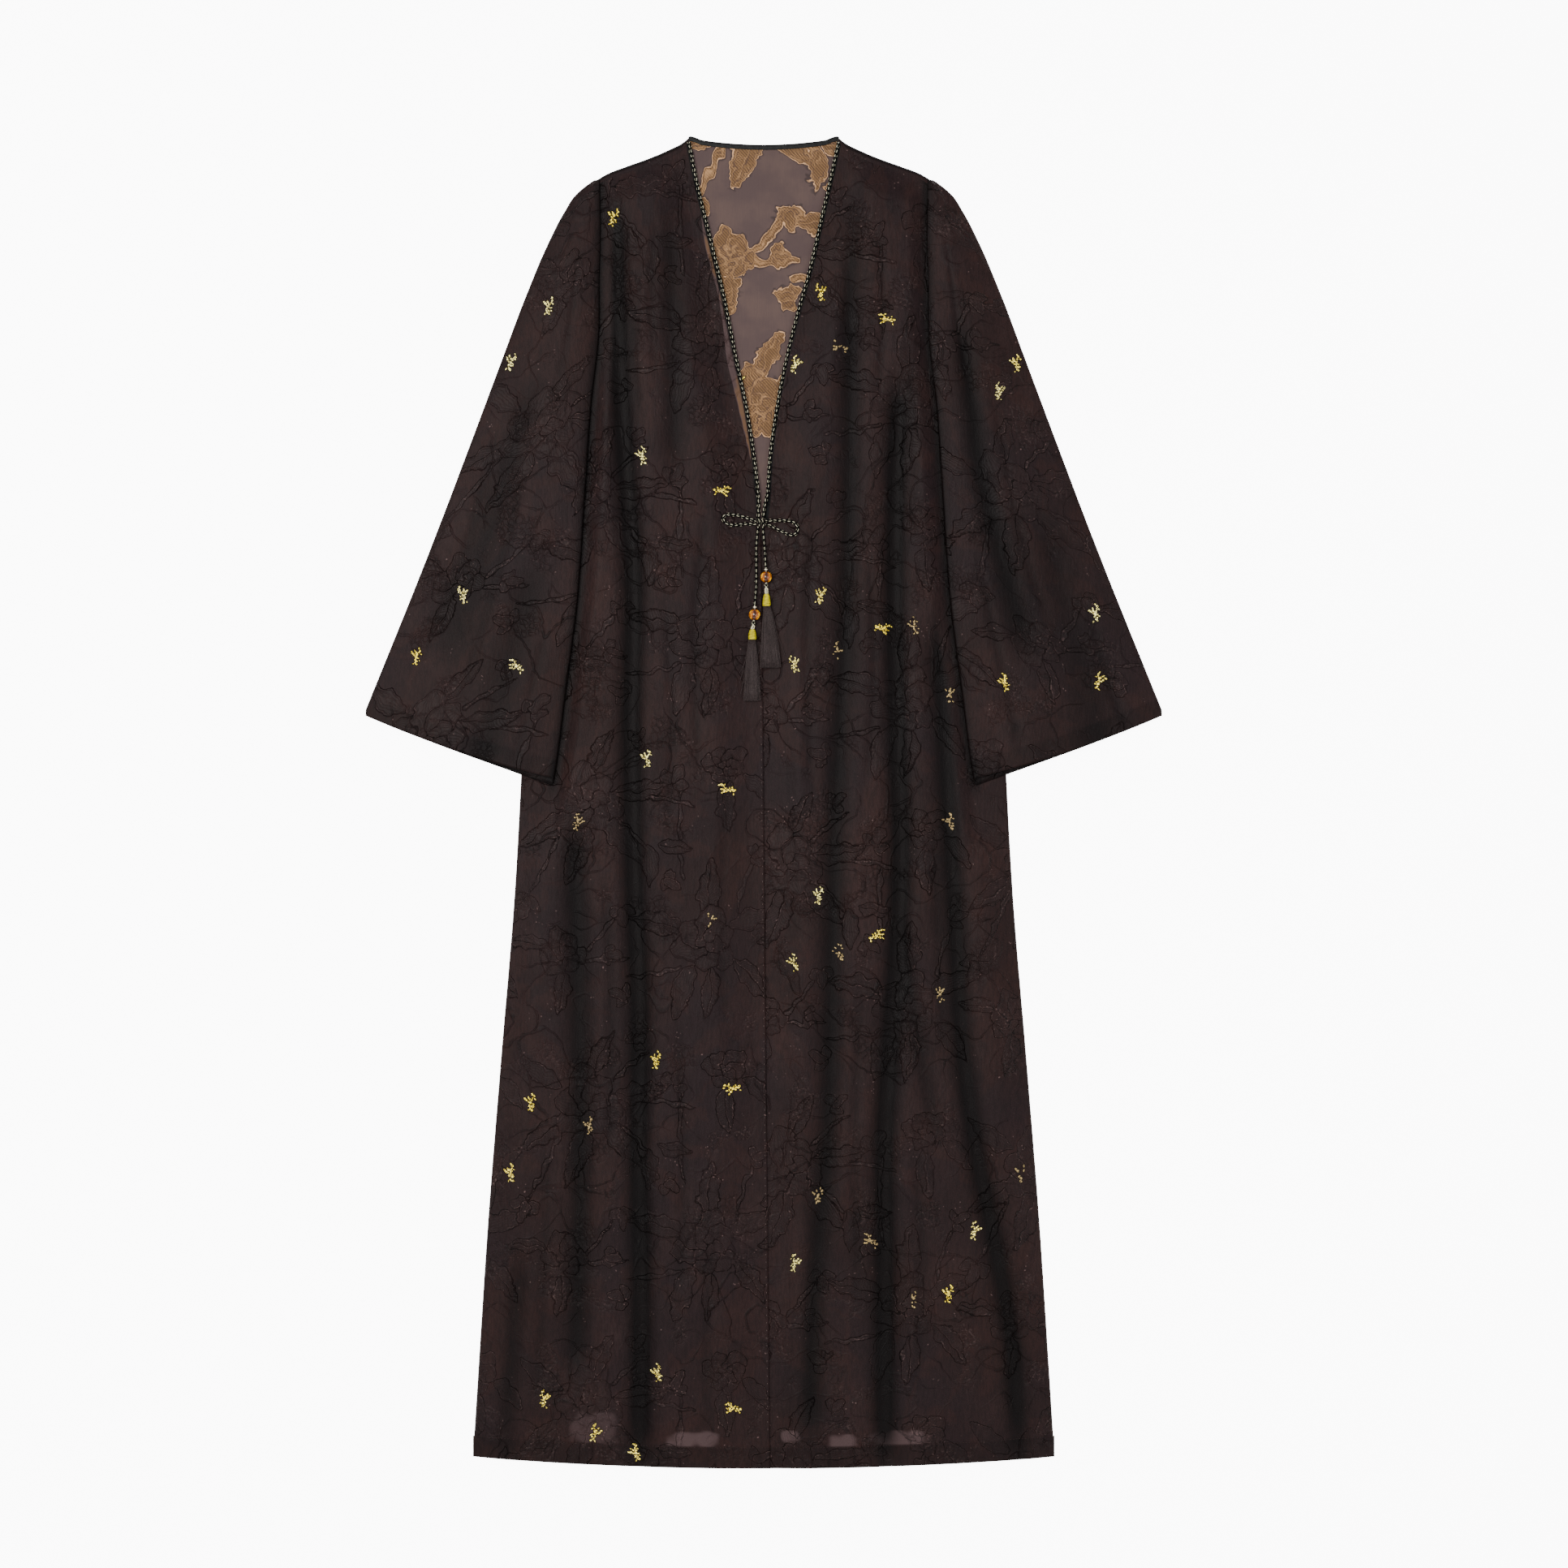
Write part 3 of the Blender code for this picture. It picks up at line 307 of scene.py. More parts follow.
# The yarns of the cord: how many are laid together, their size and place as shares of its
# radius, and the distance in millimetres that they and the cream dashes repeat over
BODY_YARNS = 4
BODY_YARN = 0.46
BODY_OUT = 0.46
BODY_PITCH = 9.4
DASH_PITCH = 5.0
TAIL_DASH_PITCH = 5.8
DASH_FACES = (90, 210, 330)
CORE_RADIUS = 1.0
TAIL_RADIUS = 1.6
KNOT_CORD_RADIUS = 0.82
CAP_SHAPE = ((0, 2.1), (0.08, 2.8), (0.3, 3.6), (0.6, 4.05), (0.92, 4.2), (1, 3.9))
TASSEL_THREADS = 340
TASSEL_THREAD_RADIUS = 0.29
STRAY_RADIUS = 0.2
STRAYS = {"left": 7, "right": 2}
TASSEL_SEED = 71
# The pieces of a tail: the end of the name that each is shown by, its look and its slot
TAIL_PIECES = {
    "metal_bead": ("ring", "metal", "metal_bead"),
    "amber_bead": ("resin", "amber", "amber"),
    "tail_knot": ("yarn", "cord", "twisted_cord"),
    "tassel_loop": ("thread", "pale_thread", "yellow_thread"),
    "tassel_cap": ("winding", "yellow", "yellow_thread"),
}

# Section of the neck binding: distance past the back's edge, height
BINDING_SECTION = (
    (-0.32, 0.1), (-0.95, 0.12), (-1.18, 0.5), (-1.2, 1.6), (-1.08, 2.1), (-0.6, 2.36),
    (0.3, 2.44), (1.6, 2.5), (3, 2.46), (3.9, 2.38), (4.25, 2.1), (4.2, 1.7), (3.7, 1.52),
    (1.5, 1.5), (-0.3, 1.48),
)
STITCH_PITCH = 3.1
STITCH_RADIUS = 0.17
STITCH_RISE = 0.22
EDGE_STITCHES = 112
EDGE_STITCHES_START = 470.0
EDGE_STITCH_PITCH = 8.0

# The buds of a sprig round its middle: x, drop, heading in degrees, size and slimness; and the
# reach and rise of a bud's rings and of the dark ring under it, a painted shadow round the bud
SPRIG_BUDS = (
    (-5.2, -3.6, 25, 1, 1.3), (-3.6, -2.2, 40, 1.1, 1), (-2, -0.9, 35, 0.9, 1.8),
    (-2.4, -5.4, 70, 0.9, 1.6), (-1.2, -3.4, 80, 1.15, 1), (1, -8.8, 60, 0.9, 1.5),
    (2.4, -7.2, 90, 1.1, 1), (1.6, -5, 110, 0.9, 2), (0.8, -2.6, 120, 1.15, 1.1),
    (3.6, -4.2, 20, 0.8, 1.4), (0, -0.2, 60, 1.2, 1), (2.2, 0.4, 10, 0.85, 1.7),
    (-0.6, 2.2, 100, 1, 1.3), (1.4, 3, 50, 1.1, 1), (3.4, 2.4, 30, 0.75, 1.5),
    (0.4, 5, 80, 0.95, 1.6), (2.2, 6.2, 40, 1.05, 1), (-1.4, 6.8, 120, 0.8, 1.4),
)
BUD_RISE = ((1, 0.04), (0.94, 0.36), (0.6, 0.64), (0.1, 0.5))
BUD_SHADOW_RING = ((1.4, 0.03), (1.3, 0.1), (0.9, 0.1))
SHADOW_RING_LOOK = 2
LYING_SPRIGS = ((889, 605), (897, 973), (903, 1341), (904, 1735), (1093, 394), (1087, 774),
                (637, 822), (1080, 1153), (1073, 1529), (1035, 428))
LYING_TURN = -68.0
FAINT = 0.6
SPRIG_SEED = 5
SPRIG_LEAN = 24.0
SPRIG_SPREAD = 1.1
BUD_STRAY = 0.6
BUD_TURN = 0.5
BUD_SIZES = (1.0, 1.5)

# The stage: the camera's height and frame, and the lamps' places, sizes, watts and colours
CAMERA_FAR = 5.0
FRAME_WIDTH = 1932.0 * PIXEL * MM
FRAME_MIDDLE = ((966.0 - MIDDLE_PIXEL) * PIXEL, (966.0 - TOP_PIXEL) * PIXEL)
LYING_MIDDLE = 0.003
FLOOR_LEVEL = -0.0002
FLOOR_HALF = 6.0
LAMPS = (("key", (-1.0, 0.5, 3.0), 1.8, 170.0, (1.0, 0.98, 0.955)),
         ("fill", (1.5, -0.5, 2.7), 2.6, 60.0, (0.98, 0.985, 1.0)),
         ("low", (-0.4, -2.4, 1.3), 1.8, 24.0, (1.0, 1.0, 1.0)))


# Curves and ramps

def smooth(table, at):
    """A smooth curve through the table's rows, read at one place or many."""
    knots = np.array([row[0] for row in table], dtype=float)
    values = np.array([row[1] for row in table], dtype=float)
    slopes = np.gradient(values, knots)
    at = np.clip(np.asarray(at, dtype=float), knots[0], knots[-1])
    span = np.clip(np.searchsorted(knots, at, side="right") - 1, 0, len(knots) - 2)
    width = knots[span + 1] - knots[span]
    t = (at - knots[span]) / width
    rise = t * t * (3.0 - 2.0 * t)
    return (values[span] * (1.0 - rise) + values[span + 1] * rise
            + width * slopes[span] * t * (1.0 - t) ** 2
            - width * slopes[span + 1] * t * t * (1.0 - t))


def ramp(start, end, at):
    """0 before the start, 1 past the end, and a soft step between them."""
    t = np.clip((np.asarray(at, dtype=float) - start) / (end - start), 0.0, 1.0)
    return t * t * (3.0 - 2.0 * t)


def place(x, drop, height):
    """A point in metres from its x, drop and height in millimetres."""
    return (x * MM, (LENGTH / 2 - drop) * MM, height * MM)


def places(x, drop, height):
    """Points in metres from arrays in millimetres, with the coordinates last."""
    return np.stack([x * MM, (LENGTH / 2 - drop) * MM, height * MM + 0.0 * x], axis=-1)


def soft_noise(x, y, size, seed):
    """Smooth uneven values from about -1 to 1, of one feature size."""
    random = np.random.default_rng(seed)
    total = np.zeros(np.broadcast(x, y).shape)
    for _ in range(9):
        turn = random.uniform(0.0, math.tau)
        pitch = size * random.uniform(0.7, 1.6)
        start = random.uniform(0.0, math.tau)
        total = total + np.sin(math.tau * (x * math.cos(turn) + y * math.sin(turn)) / pitch + start)
    return total / 4.0


# The garment's edges and heights, as its solids have them

def outer_edge(drop):
    """Half width of the body at its armhole and side seam."""
    return np.where(np.asarray(drop) < ARMPIT, smooth(ARMHOLE, drop), smooth(SIDE_SEAM, drop))


def front_edge(side, drop):
    return smooth(OPENING[side], drop)


def from_opening(side, x, drop):
    """Distance from a front's opening edge towards its side seam."""
    return (x - front_edge(side, drop)) * side


def hem_drop(x):
    return LENGTH - HEM_RISE * (np.asarray(x) / HEM_HALF) ** 2


def back_top(x):
    """The back's upper edge: its shallow neck, then the shoulder fold."""
    across = np.abs(x)
    neck = BACK_NECK_TOP + BACK_NECK_DIP * (1.0 - (across / NECK_HALF) ** 2)
    corner = 1.0 - ramp(NECK_HALF - NECK_CORNER_REACH, NECK_HALF, across)
    return np.where(across < NECK_HALF, neck * corner, smooth(SHOULDER, across))


def fold_depth(folds, across, drop, fade=FOLD_END):
    """How far the folds sink below the crown at each point."""
    depth = np.zeros(np.broadcast(across, drop).shape)
    for deep, half, points in folds:
        start, end = points[0][0], points[-1][0]
        line = smooth(points, drop)
        along = ramp(start, start + fade, drop) * (1.0 - ramp(end - fade, end, drop))
        depth = depth + deep * along * np.exp(-((across - line) / half) ** 2)
    return depth


def front_mask(side, x, drop):
    """Where a front is free to crown: 0 at its edges and under the sleeve."""
    from_sleeve = smooth(SLEEVE_INNER, drop) - SLEEVE_COVERS - np.abs(x)
    beside_sleeve = ramp(0.0, CROWN_FROM_SLEEVE, from_sleeve)
    below_cuff = ramp(0.0, CROWN_FROM_SIDE, outer_edge(drop) - np.abs(x))
    free = ramp(CUFF + FREE_START, CUFF + FREE_END, drop)
    mask = beside_sleeve * (1.0 - free) + below_cuff * free
    mask = mask * ramp(*CROWN_FROM_EDGE, from_opening(side, x, drop))
    shoulder = smooth(SHOULDER, np.clip(np.abs(x), NECK_HALF, SHOULDER_HALF))
    at_hem = 1.0 - ramp(0.0, HEM_CALM, hem_drop(x) - drop)
    return mask * ramp(*CROWN_FROM_SHOULDER, drop - shoulder) * (1.0 - HEM_CALMER * at_hem)


def front_lap(side, x, drop):
    near = 1.0 - ramp(*LAP_FADE, from_opening(side, x, drop))
    return LAP_RISE * ramp(*LAP_START, drop) * near * (side < 0)


def front_height(side, x, drop):
    """Middle of a front's wall."""
    relief = np.maximum(FRONT_CROWN - fold_depth(FOLDS[side], x, drop), 0.0)
    return FRONT_LEVEL + front_mask(side, x, drop) * relief + front_lap(side, x, drop)


def cloth_top(x, drop):
    """Top of whatever cloth lies at this point, outside the sleeves."""
    top = BACK_LEVEL
    for side in (-1, 1):
        if from_opening(side, x, drop) >= 0.0:
            top = max(top, float(front_height(side, x, drop)))
    return top + WALL / 2


def lying_height(x, drop, reach):
    """Lowest height at which something of this reach clears the cloth below it."""
    turns = [math.tau * step / 8 for step in range(8)]
    near = [cloth_top(x + reach * math.cos(a), drop + reach * math.sin(a)) for a in turns]
    return max(near + [cloth_top(x, drop)]) + LIE


# The jacquard: one repeat of flowers, leaves, buds and stems

REPEAT = (262, 318)
FLOWERS = (
    # x, drop, turn in degrees, size
    (78, 84, 12, 38),
    (202, 232, 40, 35),
    (222, 48, 70, 24),
    (52, 244, 5, 26),
)
LEAVES = (
    # x, drop, angle in degrees with 90 downwards, length, width, bend
    (76, 104, 99, 72, 25, 0.16),
    (96, 100, 62, 62, 23, -0.20),
    (52, 96, 130, 58, 21, 0.22),
    (104, 74, 6, 58, 22, -0.24),
    (50, 66, 204, 54, 20, 0.22),
    (82, 54, -76, 50, 19, 0.20),
    (206, 206, -98, 62, 24, 0.18),
    (226, 220, -34, 56, 21, 0.24),
    (180, 222, 206, 62, 23, -0.22),
    (230, 250, 40, 54, 21, 0.20),
    (188, 256, 120, 60, 23, -0.20),
    (206, 260, 82, 52, 19, 0.26),
    (222, 66, 96, 50, 20, -0.18),
    (240, 56, 34, 44, 17, 0.22),
    (50, 262, 84, 46, 18, 0.2),
    (34, 236, 196, 42, 16, -0.2),
    (140, 130, 74, 44, 18, 0.24),
    (150, 128, 20, 38, 15, -0.2),
)
BUDS = (
    # x, drop, angle, size
    (166, 66, -60, 19),
    (158, 166, 30, 16),
    (14, 186, 110, 20),
    (118, 290, 200, 17),
    (250, 142, -20, 16),
    (124, 22, -40, 15),
    (112, 196, 80, 17),
    (96, 244, 10, 15),
)
STEMS = (
    # x, drop, angle, length, bend
    (98, 96, 36, 70, 0.16),
    (176, 72, 96, 96, -0.12),
    (50, 108, 108, 90, 0.14),
    (176, 258, 160, 60, 0.18),
    (250, 150, 118, 56, -0.2),
    (102, 62, -50, 50, 0.2),
    (136, 80, 2, 56, 0.14),
    (70, 250, 10, 50, -0.2),
    (108, 200, 120, 60, 0.16),
)
PETAL_LENGTHS = (1, 0.88, 1.1, 0.94, 1.14, 0.86)
FAR_AWAY = 20.0


def motif_shapes():
    """Every outline of one repeat, lowest first, as one row each."""
    shapes = []

    def shape(x, y, angle, length, width, bend, channel, ribs, tone, blunt, vein=False):
        shapes.append((x, y, math.radians(angle), length, width, bend, channel, ribs, tone,
                       blunt, vein))

    for k, (x, y, angle, length, bend) in enumerate(STEMS):
        shape(x, y, angle, length, 4.4, bend, k % 3, 0.0, 0.2, 3.0)
    for k, (x, y, angle, length, width, bend) in enumerate(LEAVES):
        long_ribs = k % 3 == 1
        shape(x, y, angle, length, width, bend, k % 3, 3.2 if long_ribs else -3.0,
              0.25 + 0.15 * (k % 4), 1.15, not long_ribs)
    for x, y, turn, size in FLOWERS:
        for k, long in enumerate(PETAL_LENGTHS):
            angle = turn + 60.0 * k
            shape(x, y, angle, size * long, 0.84 * size, 0.1 * (-1) ** k, k % 3, 4.2,
                  0.45 + 0.09 * k, 1.9)
        for k, long in enumerate(PETAL_LENGTHS):
            angle = turn + 30.0 + 60.0 * k
            shape(x, y, angle, 0.64 * size * long, 0.46 * size, -0.08 * (-1) ** k,
                  (k + 1) % 3, 2.8, 0.3 + 0.1 * k, 1.7)
        for k in range(3):
            shape(x, y, turn + 15.0 + 120.0 * k, 0.34 * size, 0.3 * size, 0.0, k, 1.6, 0.95, 1.8)
    for x, y, angle, size in BUDS:
        for k, spread in enumerate((-62.0, 62.0, 0.0)):
            shape(x, y, angle + spread, size * (0.9 if spread else 1.25), 0.66 * size, 0.0, k,
                  2.5, 0.4 + 0.2 * k, 1.6)
    return shapes


def jacquard(p, q, wobble=1.9, frill=0.9):
    """Fields of the woven figure at points of the cloth, in millimetres across and down it.

    Returns three signed distances to outlines that never meet their own kind, negative
    inside, and the ribs' phase and the tone of the petal or leaf on top.
    """
    edges = [np.full(p.shape, FAR_AWAY) for _ in range(3)]
    phase = np.zeros(p.shape)
    tone = np.zeros(p.shape)
    fine = 0.45 * max(wobble - 1.2, 0.0)
    wobble_p = wobble * soft_noise(p, q, 15.0, 3) + fine * soft_noise(p, q, 5.5, 5)
    wobble_q = wobble * soft_noise(p, q, 15.0, 4) + fine * soft_noise(p, q, 5.5, 6)
    for x, y, angle, length, width, bend, channel, ribs, shade, blunt, vein in motif_shapes():
        dp = (p + wobble_p - x + REPEAT[0] / 2) % REPEAT[0] - REPEAT[0] / 2
        dq = (q + wobble_q - y + REPEAT[1] / 2) % REPEAT[1] - REPEAT[1] / 2
        along = (dp * math.cos(angle) + dq * math.sin(angle)) / length
        across = -dp * math.sin(angle) + dq * math.cos(angle) - bend * length * along * along
        inside = np.clip(along, 0.0, 1.0)
        half = 0.5 * width * np.sin(math.pi * inside ** 0.85) ** (1.0 / blunt)
        half = half * (1.0 + 0.07 * np.sin(along * length * 0.4 + 9.0 * shade))
        lobes = np.abs(np.sin(0.5 * along * length + 7.0 * shade)) - 0.6
        half = half + frill * lobes * (0.25 if ribs == 0.0 else 1.0)
        field = np.maximum(np.abs(across) - half, np.maximum(-along, along - 1.0) * length)
        field = np.clip(field, -FAR_AWAY, FAR_AWAY)
        on = field < 0.0
        for k in range(3):
            if k == channel:
                edges[k] = np.where(on, field, np.minimum(edges[k], field))
            else:
                edges[k] = np.maximum(edges[k], -field)
        if vein:
            middle = (channel + 1) % 3
            edges[middle] = np.where(on & (along < 0.9), across, edges[middle])
        if ribs < 0.0:
            lines = (along * length - 0.9 * np.abs(across)) / -ribs
        elif ribs > 0.0:
            lines = ribs * across / np.maximum(half, 0.8)
        else:
            lines = np.full(p.shape, 0.5)
        phase = np.where(on, lines, phase)
        tone = np.where(on, shade, tone)
    return np.stack(edges, axis=-1), phase, tone


def relief(edges):
    """Height of the puffed figure and its raised outlines."""
    nearest = np.min(np.abs(edges), axis=-1)
    figure = ramp(0.6, -2.2, np.min(edges, axis=-1))
    return 0.12 * figure + 0.1 * np.exp(-(nearest / 1.3) ** 2)


# Meshes

def link(name, mesh, finish, node=None):
    """One shown piece that rides on the part's only body and may stand for its node."""
    for material in finish if isinstance(finish, (list, tuple)) else [finish]:
        mesh.materials.append(material)
    item = bpy.data.objects.new(name, mesh)
    bpy.context.scene.collection.objects.link(item)
    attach(item, "root")
    if node is not None:
        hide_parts(node)
    return item


def mesh_from(name, points, quads, numbers=None):
    """A smooth-shaded mesh from arrays of points and four-cornered faces."""
    points = np.asarray(points, dtype=np.float32).reshape(-1, 3)
    quads = np.asarray(quads, dtype=np.int32).reshape(-1, 4)
    mesh = bpy.data.meshes.new(name)
    mesh.vertices.add(len(points))
    mesh.vertices.foreach_set("co", points.ravel())
    mesh.loops.add(quads.size)
    mesh.loops.foreach_set("vertex_index", quads.ravel())
    mesh.polygons.add(len(quads))
    mesh.polygons.foreach_set("loop_start", np.arange(0, quads.size, 4, dtype=np.int32))
    mesh.polygons.foreach_set("loop_total", np.full(len(quads), 4, dtype=np.int32))
    if numbers is not None:
        mesh.polygons.foreach_set("material_index", np.asarray(numbers, dtype=np.int32))
    mesh.update(calc_edges=True)
    mesh.validate()
    mesh.shade_smooth()
    return mesh


def grid_quads(rows, columns, flip=False, closed=False):
    """Faces of a grid of points, closed round its columns if asked."""
    row = np.arange(rows - 1)[:, None]
    column = np.arange(columns if closed else columns - 1)[None, :]
    after = (column + 1) % columns
    quads = np.stack([row * columns + column, (row + 1) * columns + column,
                      (row + 1) * columns + after, row * columns + after], axis=-1)
    quads = quads.reshape(-1, 4)
    return quads[:, ::-1] if flip else quads


def set_fields(mesh, fields, names=("edges", "ribs", "under")):
    """Fields of three numbers each, from arrays with those numbers last."""
    for name, values in zip(names, np.split(fields, fields.shape[-1] // 3, axis=-1)):
        values = values.astype(np.float32).ravel()
        mesh.attributes.new(name, "FLOAT_VECTOR", "POINT").data.foreach_set("vector", values)


class Surface:
    """The shown face of a sheet, to lay small things on by their x and drop."""

    def __init__(self, points):
        self.points = points.reshape(-1, 3)
        down = np.gradient(points, axis=0)
        across = np.gradient(points, axis=1)
        normals = np.cross(down, across)
        normals = normals / np.maximum(np.linalg.norm(normals, axis=-1), 1e-12)[..., None]
        normals = normals * np.where(normals[..., 2:] < 0.0, -1.0, 1.0)
        self.normals = normals.reshape(-1, 3)
        self.tree = KDTree(len(self.points))
        for number, point in enumerate(self.points):
            self.tree.insert((point[0], point[1], 0.0), number)
        self.tree.balance()

    def at(self, x, drop):
        """The point and the normal there, as arrays in metres."""
        flat = (x * MM, (LENGTH / 2 - drop) * MM, 0.0)
        number = self.tree.find(flat)[1]
        point, normal = self.points[number], self.normals[number]
        height = point[2] - (normal[0] * (flat[0] - point[0])
                             + normal[1] * (flat[1] - point[1])) / max(normal[2], 0.3)
        return np.array([flat[0], flat[1], height]), normal


def directions(centres):
    """Side and lift vectors that go with a path's points."""
    along = np.gradient(centres, axis=0)
    along = along / np.linalg.norm(along, axis=1)[:, None]
    side = np.cross(along, np.array([0.0, 0.0, 1.0]))
    length = np.linalg.norm(side, axis=1)[:, None]
    side = np.where(length > 1e-4, side / np.maximum(length, 1e-9), np.array([1.0, 0.0, 0.0]))
    return side, np.cross(side, along)


def pointed(rings, share):
    """The rings with one more at each end, drawn in to that share of its size."""
    middle = rings.mean(axis=1, keepdims=True)
    ends = middle + share * (rings - middle)
    return np.concatenate([ends[:1], rings, ends[-1:]])


class Tubes:
    """Many thin tubes gathered into one mesh."""

    def __init__(self):
        self.points = []
        self.quads = []
        self.numbers = []
        self.count = 0

    def add(self, centres, radius, sides=6, number=0, flat=1.0):
        """A tube through the centres, whose ends close to a point."""
        centres = np.asarray(centres, dtype=float)
        radius = np.broadcast_to(np.asarray(radius, dtype=float), (len(centres),))
        side, lift = directions(centres)
        turns = np.arange(sides) * math.tau / sides
        rings = (centres[:, None, :]
                 + (side[:, None, :] * np.cos(turns)[None, :, None]
                    + flat * lift[:, None, :] * np.sin(turns)[None, :, None])
                 * radius[:, None, None])
        self.add_grid(pointed(rings, 0.05), number, closed=True)

    def add_grid(self, grid, number=0, closed=False, flip=False):
        rows, columns = grid.shape[:2]
        quads = grid_quads(rows, columns, flip=flip, closed=closed) + self.count
        self.points.append(grid.reshape(-1, 3))
        self.quads.append(quads)
        self.numbers.append(np.full(len(quads), number))
        self.count += rows * columns

    def mesh(self, name):
        return mesh_from(name, np.concatenate(self.points), np.concatenate(self.quads),
                         np.concatenate(self.numbers))


# Materials

def srgb(red, green, blue):
    """A colour in linear light from its 0 to 255 screen values."""
    values = [value / 255.0 for value in (red, green, blue)]
    return [v / 12.92 if v <= 0.04045 else ((v + 0.055) / 1.055) ** 2.4 for v in values] + [1.0]


class Look:
    """A node material that is put together by short calls."""

    def __init__(self, name, roughness=0.6, metallic=0.0, shine=None):
        self.material = bpy.data.materials.new(name)
        self.material.use_nodes = True
        self.tree = self.material.node_tree
        self.shader = self.tree.nodes["Principled BSDF"]
        self.set("Roughness", roughness)
        self.set("Metallic", metallic)
        if shine is not None:
            self.set("Specular IOR Level", shine)

    def put(self, socket, value):
        """Link a socket to another or give it a value, where a colour has 0 to 255 screen values."""
        if isinstance(value, bpy.types.NodeSocket):
            self.tree.links.new(value, socket)
        else:
            socket.default_value = srgb(*value) if socket.type == "RGBA" else value

    def set(self, name, value):
        self.put(self.shader.inputs[name], value)

    def node(self, kind, inputs=None, **settings):
        made = self.tree.nodes.new("ShaderNode" + kind)
        for key, value in settings.items():
            setattr(made, key, value)
        for key, value in (inputs or {}).items():
            self.put(made.inputs[key], value)
        return made

    def math(self, operation, *values):
        made = self.node("Math", operation=operation)
        for socket, value in zip(made.inputs, values):
            self.put(socket, value)
        return made.outputs[0]

    def times(self, one, two):
        return self.math("MULTIPLY", one, two)

    def most(self, *values):
        """The greatest of the values."""
        top = values[0]
        for value in values[1:]:
            top = self.math("MAXIMUM", top, value)
        return top

    def absolute(self, value):
        return self.math("ABSOLUTE", value)

    def pile(self, height, *layers):
        """The height with masks laid on it, each with its amount."""
        for mask, amount in layers:
            height = self.math("MULTIPLY_ADD", mask, amount, height)
        return height

    def step(self, value, start, end, low=0.0, high=1.0):
        """A soft step from low at start to high at end."""
        made = self.node("MapRange", {"Value": value, "From Min": start, "From Max": end,
                                      "To Min": low, "To Max": high},
                         interpolation_type="SMOOTHSTEP")
        return made.outputs["Result"]

    def mix(self, share, one, two):
        made = self.node("Mix", data_type="RGBA")
        self.put(made.inputs["Factor"], share)
        for socket in made.inputs:
            if socket.type == "RGBA":
                self.put(socket, one if socket.name == "A" else two)
        return [socket for socket in made.outputs if socket.type == "RGBA"][0]

    def paint(self, colour, *coats):
        """The colour with coats over it, each a mask and its own colour."""
        for mask, coat in coats:
            colour = self.mix(mask, colour, coat)
        return colour

    def place(self, stretch=(1.0, 1.0, 1.0), turn=0.0):
        """The piece's own coordinates, in metres before the stretch."""
        own = self.node("TexCoord").outputs["Object"]
        made = self.node("Mapping", {"Vector": own, "Scale": stretch,
                                     "Rotation": (0.0, 0.0, math.radians(turn))})
        return made.outputs["Vector"]

    def noise(self, scale, detail=2.0, stretch=(1.0, 1.0, 1.0), roughness=0.55, where=None):
        made = self.node("TexNoise", {"Vector": where or self.place(stretch), "Scale": scale,
                                      "Detail": detail, "Roughness": roughness})
        return made.outputs["Fac"]

    def patches(self, scale, start, end, low=0.0, high=1.0, detail=2.0, stretch=(1.0, 1.0, 1.0)):
        """Soft uneven patches from low to high."""
        return self.step(self.noise(scale, detail, stretch), start, end, low, high)

    def wave(self, turn, scale, distortion=0.0):
        """Parallel bands from 0 to 1, turned by degrees."""
        made = self.node("TexWave", {"Vector": self.place(turn=turn), "Scale": scale,
                                     "Distortion": distortion})
        return made.outputs["Fac"]

    def cells(self, where, scale, feature, **inputs):
        made = self.node("TexVoronoi", {"Vector": where, "Scale": scale, **inputs},
                         feature=feature)
        return made.outputs["Distance"]

    def bump(self, height, distance, strength=1.0):
        made = self.node("Bump", {"Height": height, "Distance": distance, "Strength": strength})
        self.set("Normal", made.outputs["Normal"])

    def fields(self, name):
        """The three numbers of a field that the mesh carries."""
        read = self.node("Attribute", attribute_name=name).outputs["Vector"]
        return list(self.node("SeparateXYZ", {"Vector": read}).outputs)


# Half width of the dark lines, and how far the tan figures spread, in millimetres
OUTLINE = 0.3
SPREAD = 2.7
# Scale of a wave whose bands are one metre apart, and then the pitch of the hatching and how far
# the vines bend, in metres
BAND = 1.0 / 20.0 * 10.0 / math.pi
HATCH_PITCH = 0.0012
BEND = 0.014


def figure_nodes(look):
    """Masks of the woven figure: its fill, outlines, inner outlines and ribs, and a line just inside
    the outlines on which the outer face paints its highlights.
    """
    edges = look.fields("edges")
    ribs = look.fields("ribs")
    lowest = look.math("MINIMUM", look.math("MINIMUM", edges[0], edges[1]), edges[2])
    fill = look.step(lowest, 0.35, -0.35)
    ragged = look.math("MULTIPLY_ADD", look.noise(330.0), 0.9, -0.45)
    edges = [look.math("ADD", edge, ragged) for edge in edges]

    def lines(inward, start, end):
        around = [look.math("ADD", edge, inward) if inward else edge for edge in edges]
        return look.most(*(look.step(look.absolute(edge), start, end) for edge in around))

    phase = look.absolute(look.math("SUBTRACT", look.math("FRACT", ribs[0]), 0.5))
    return {"fill": fill, "outline": lines(0.0, OUTLINE + 0.35, OUTLINE - 0.3),
            "inner": look.times(lines(2.2, 0.7, 0.1), fill),
            "light": look.times(lines(0.95, 0.6, 0.1), fill),
            "rib": look.times(look.step(phase, 0.17, 0.02), fill),
            "tone": ribs[1], "sheer": ribs[2], "lowest": lowest}


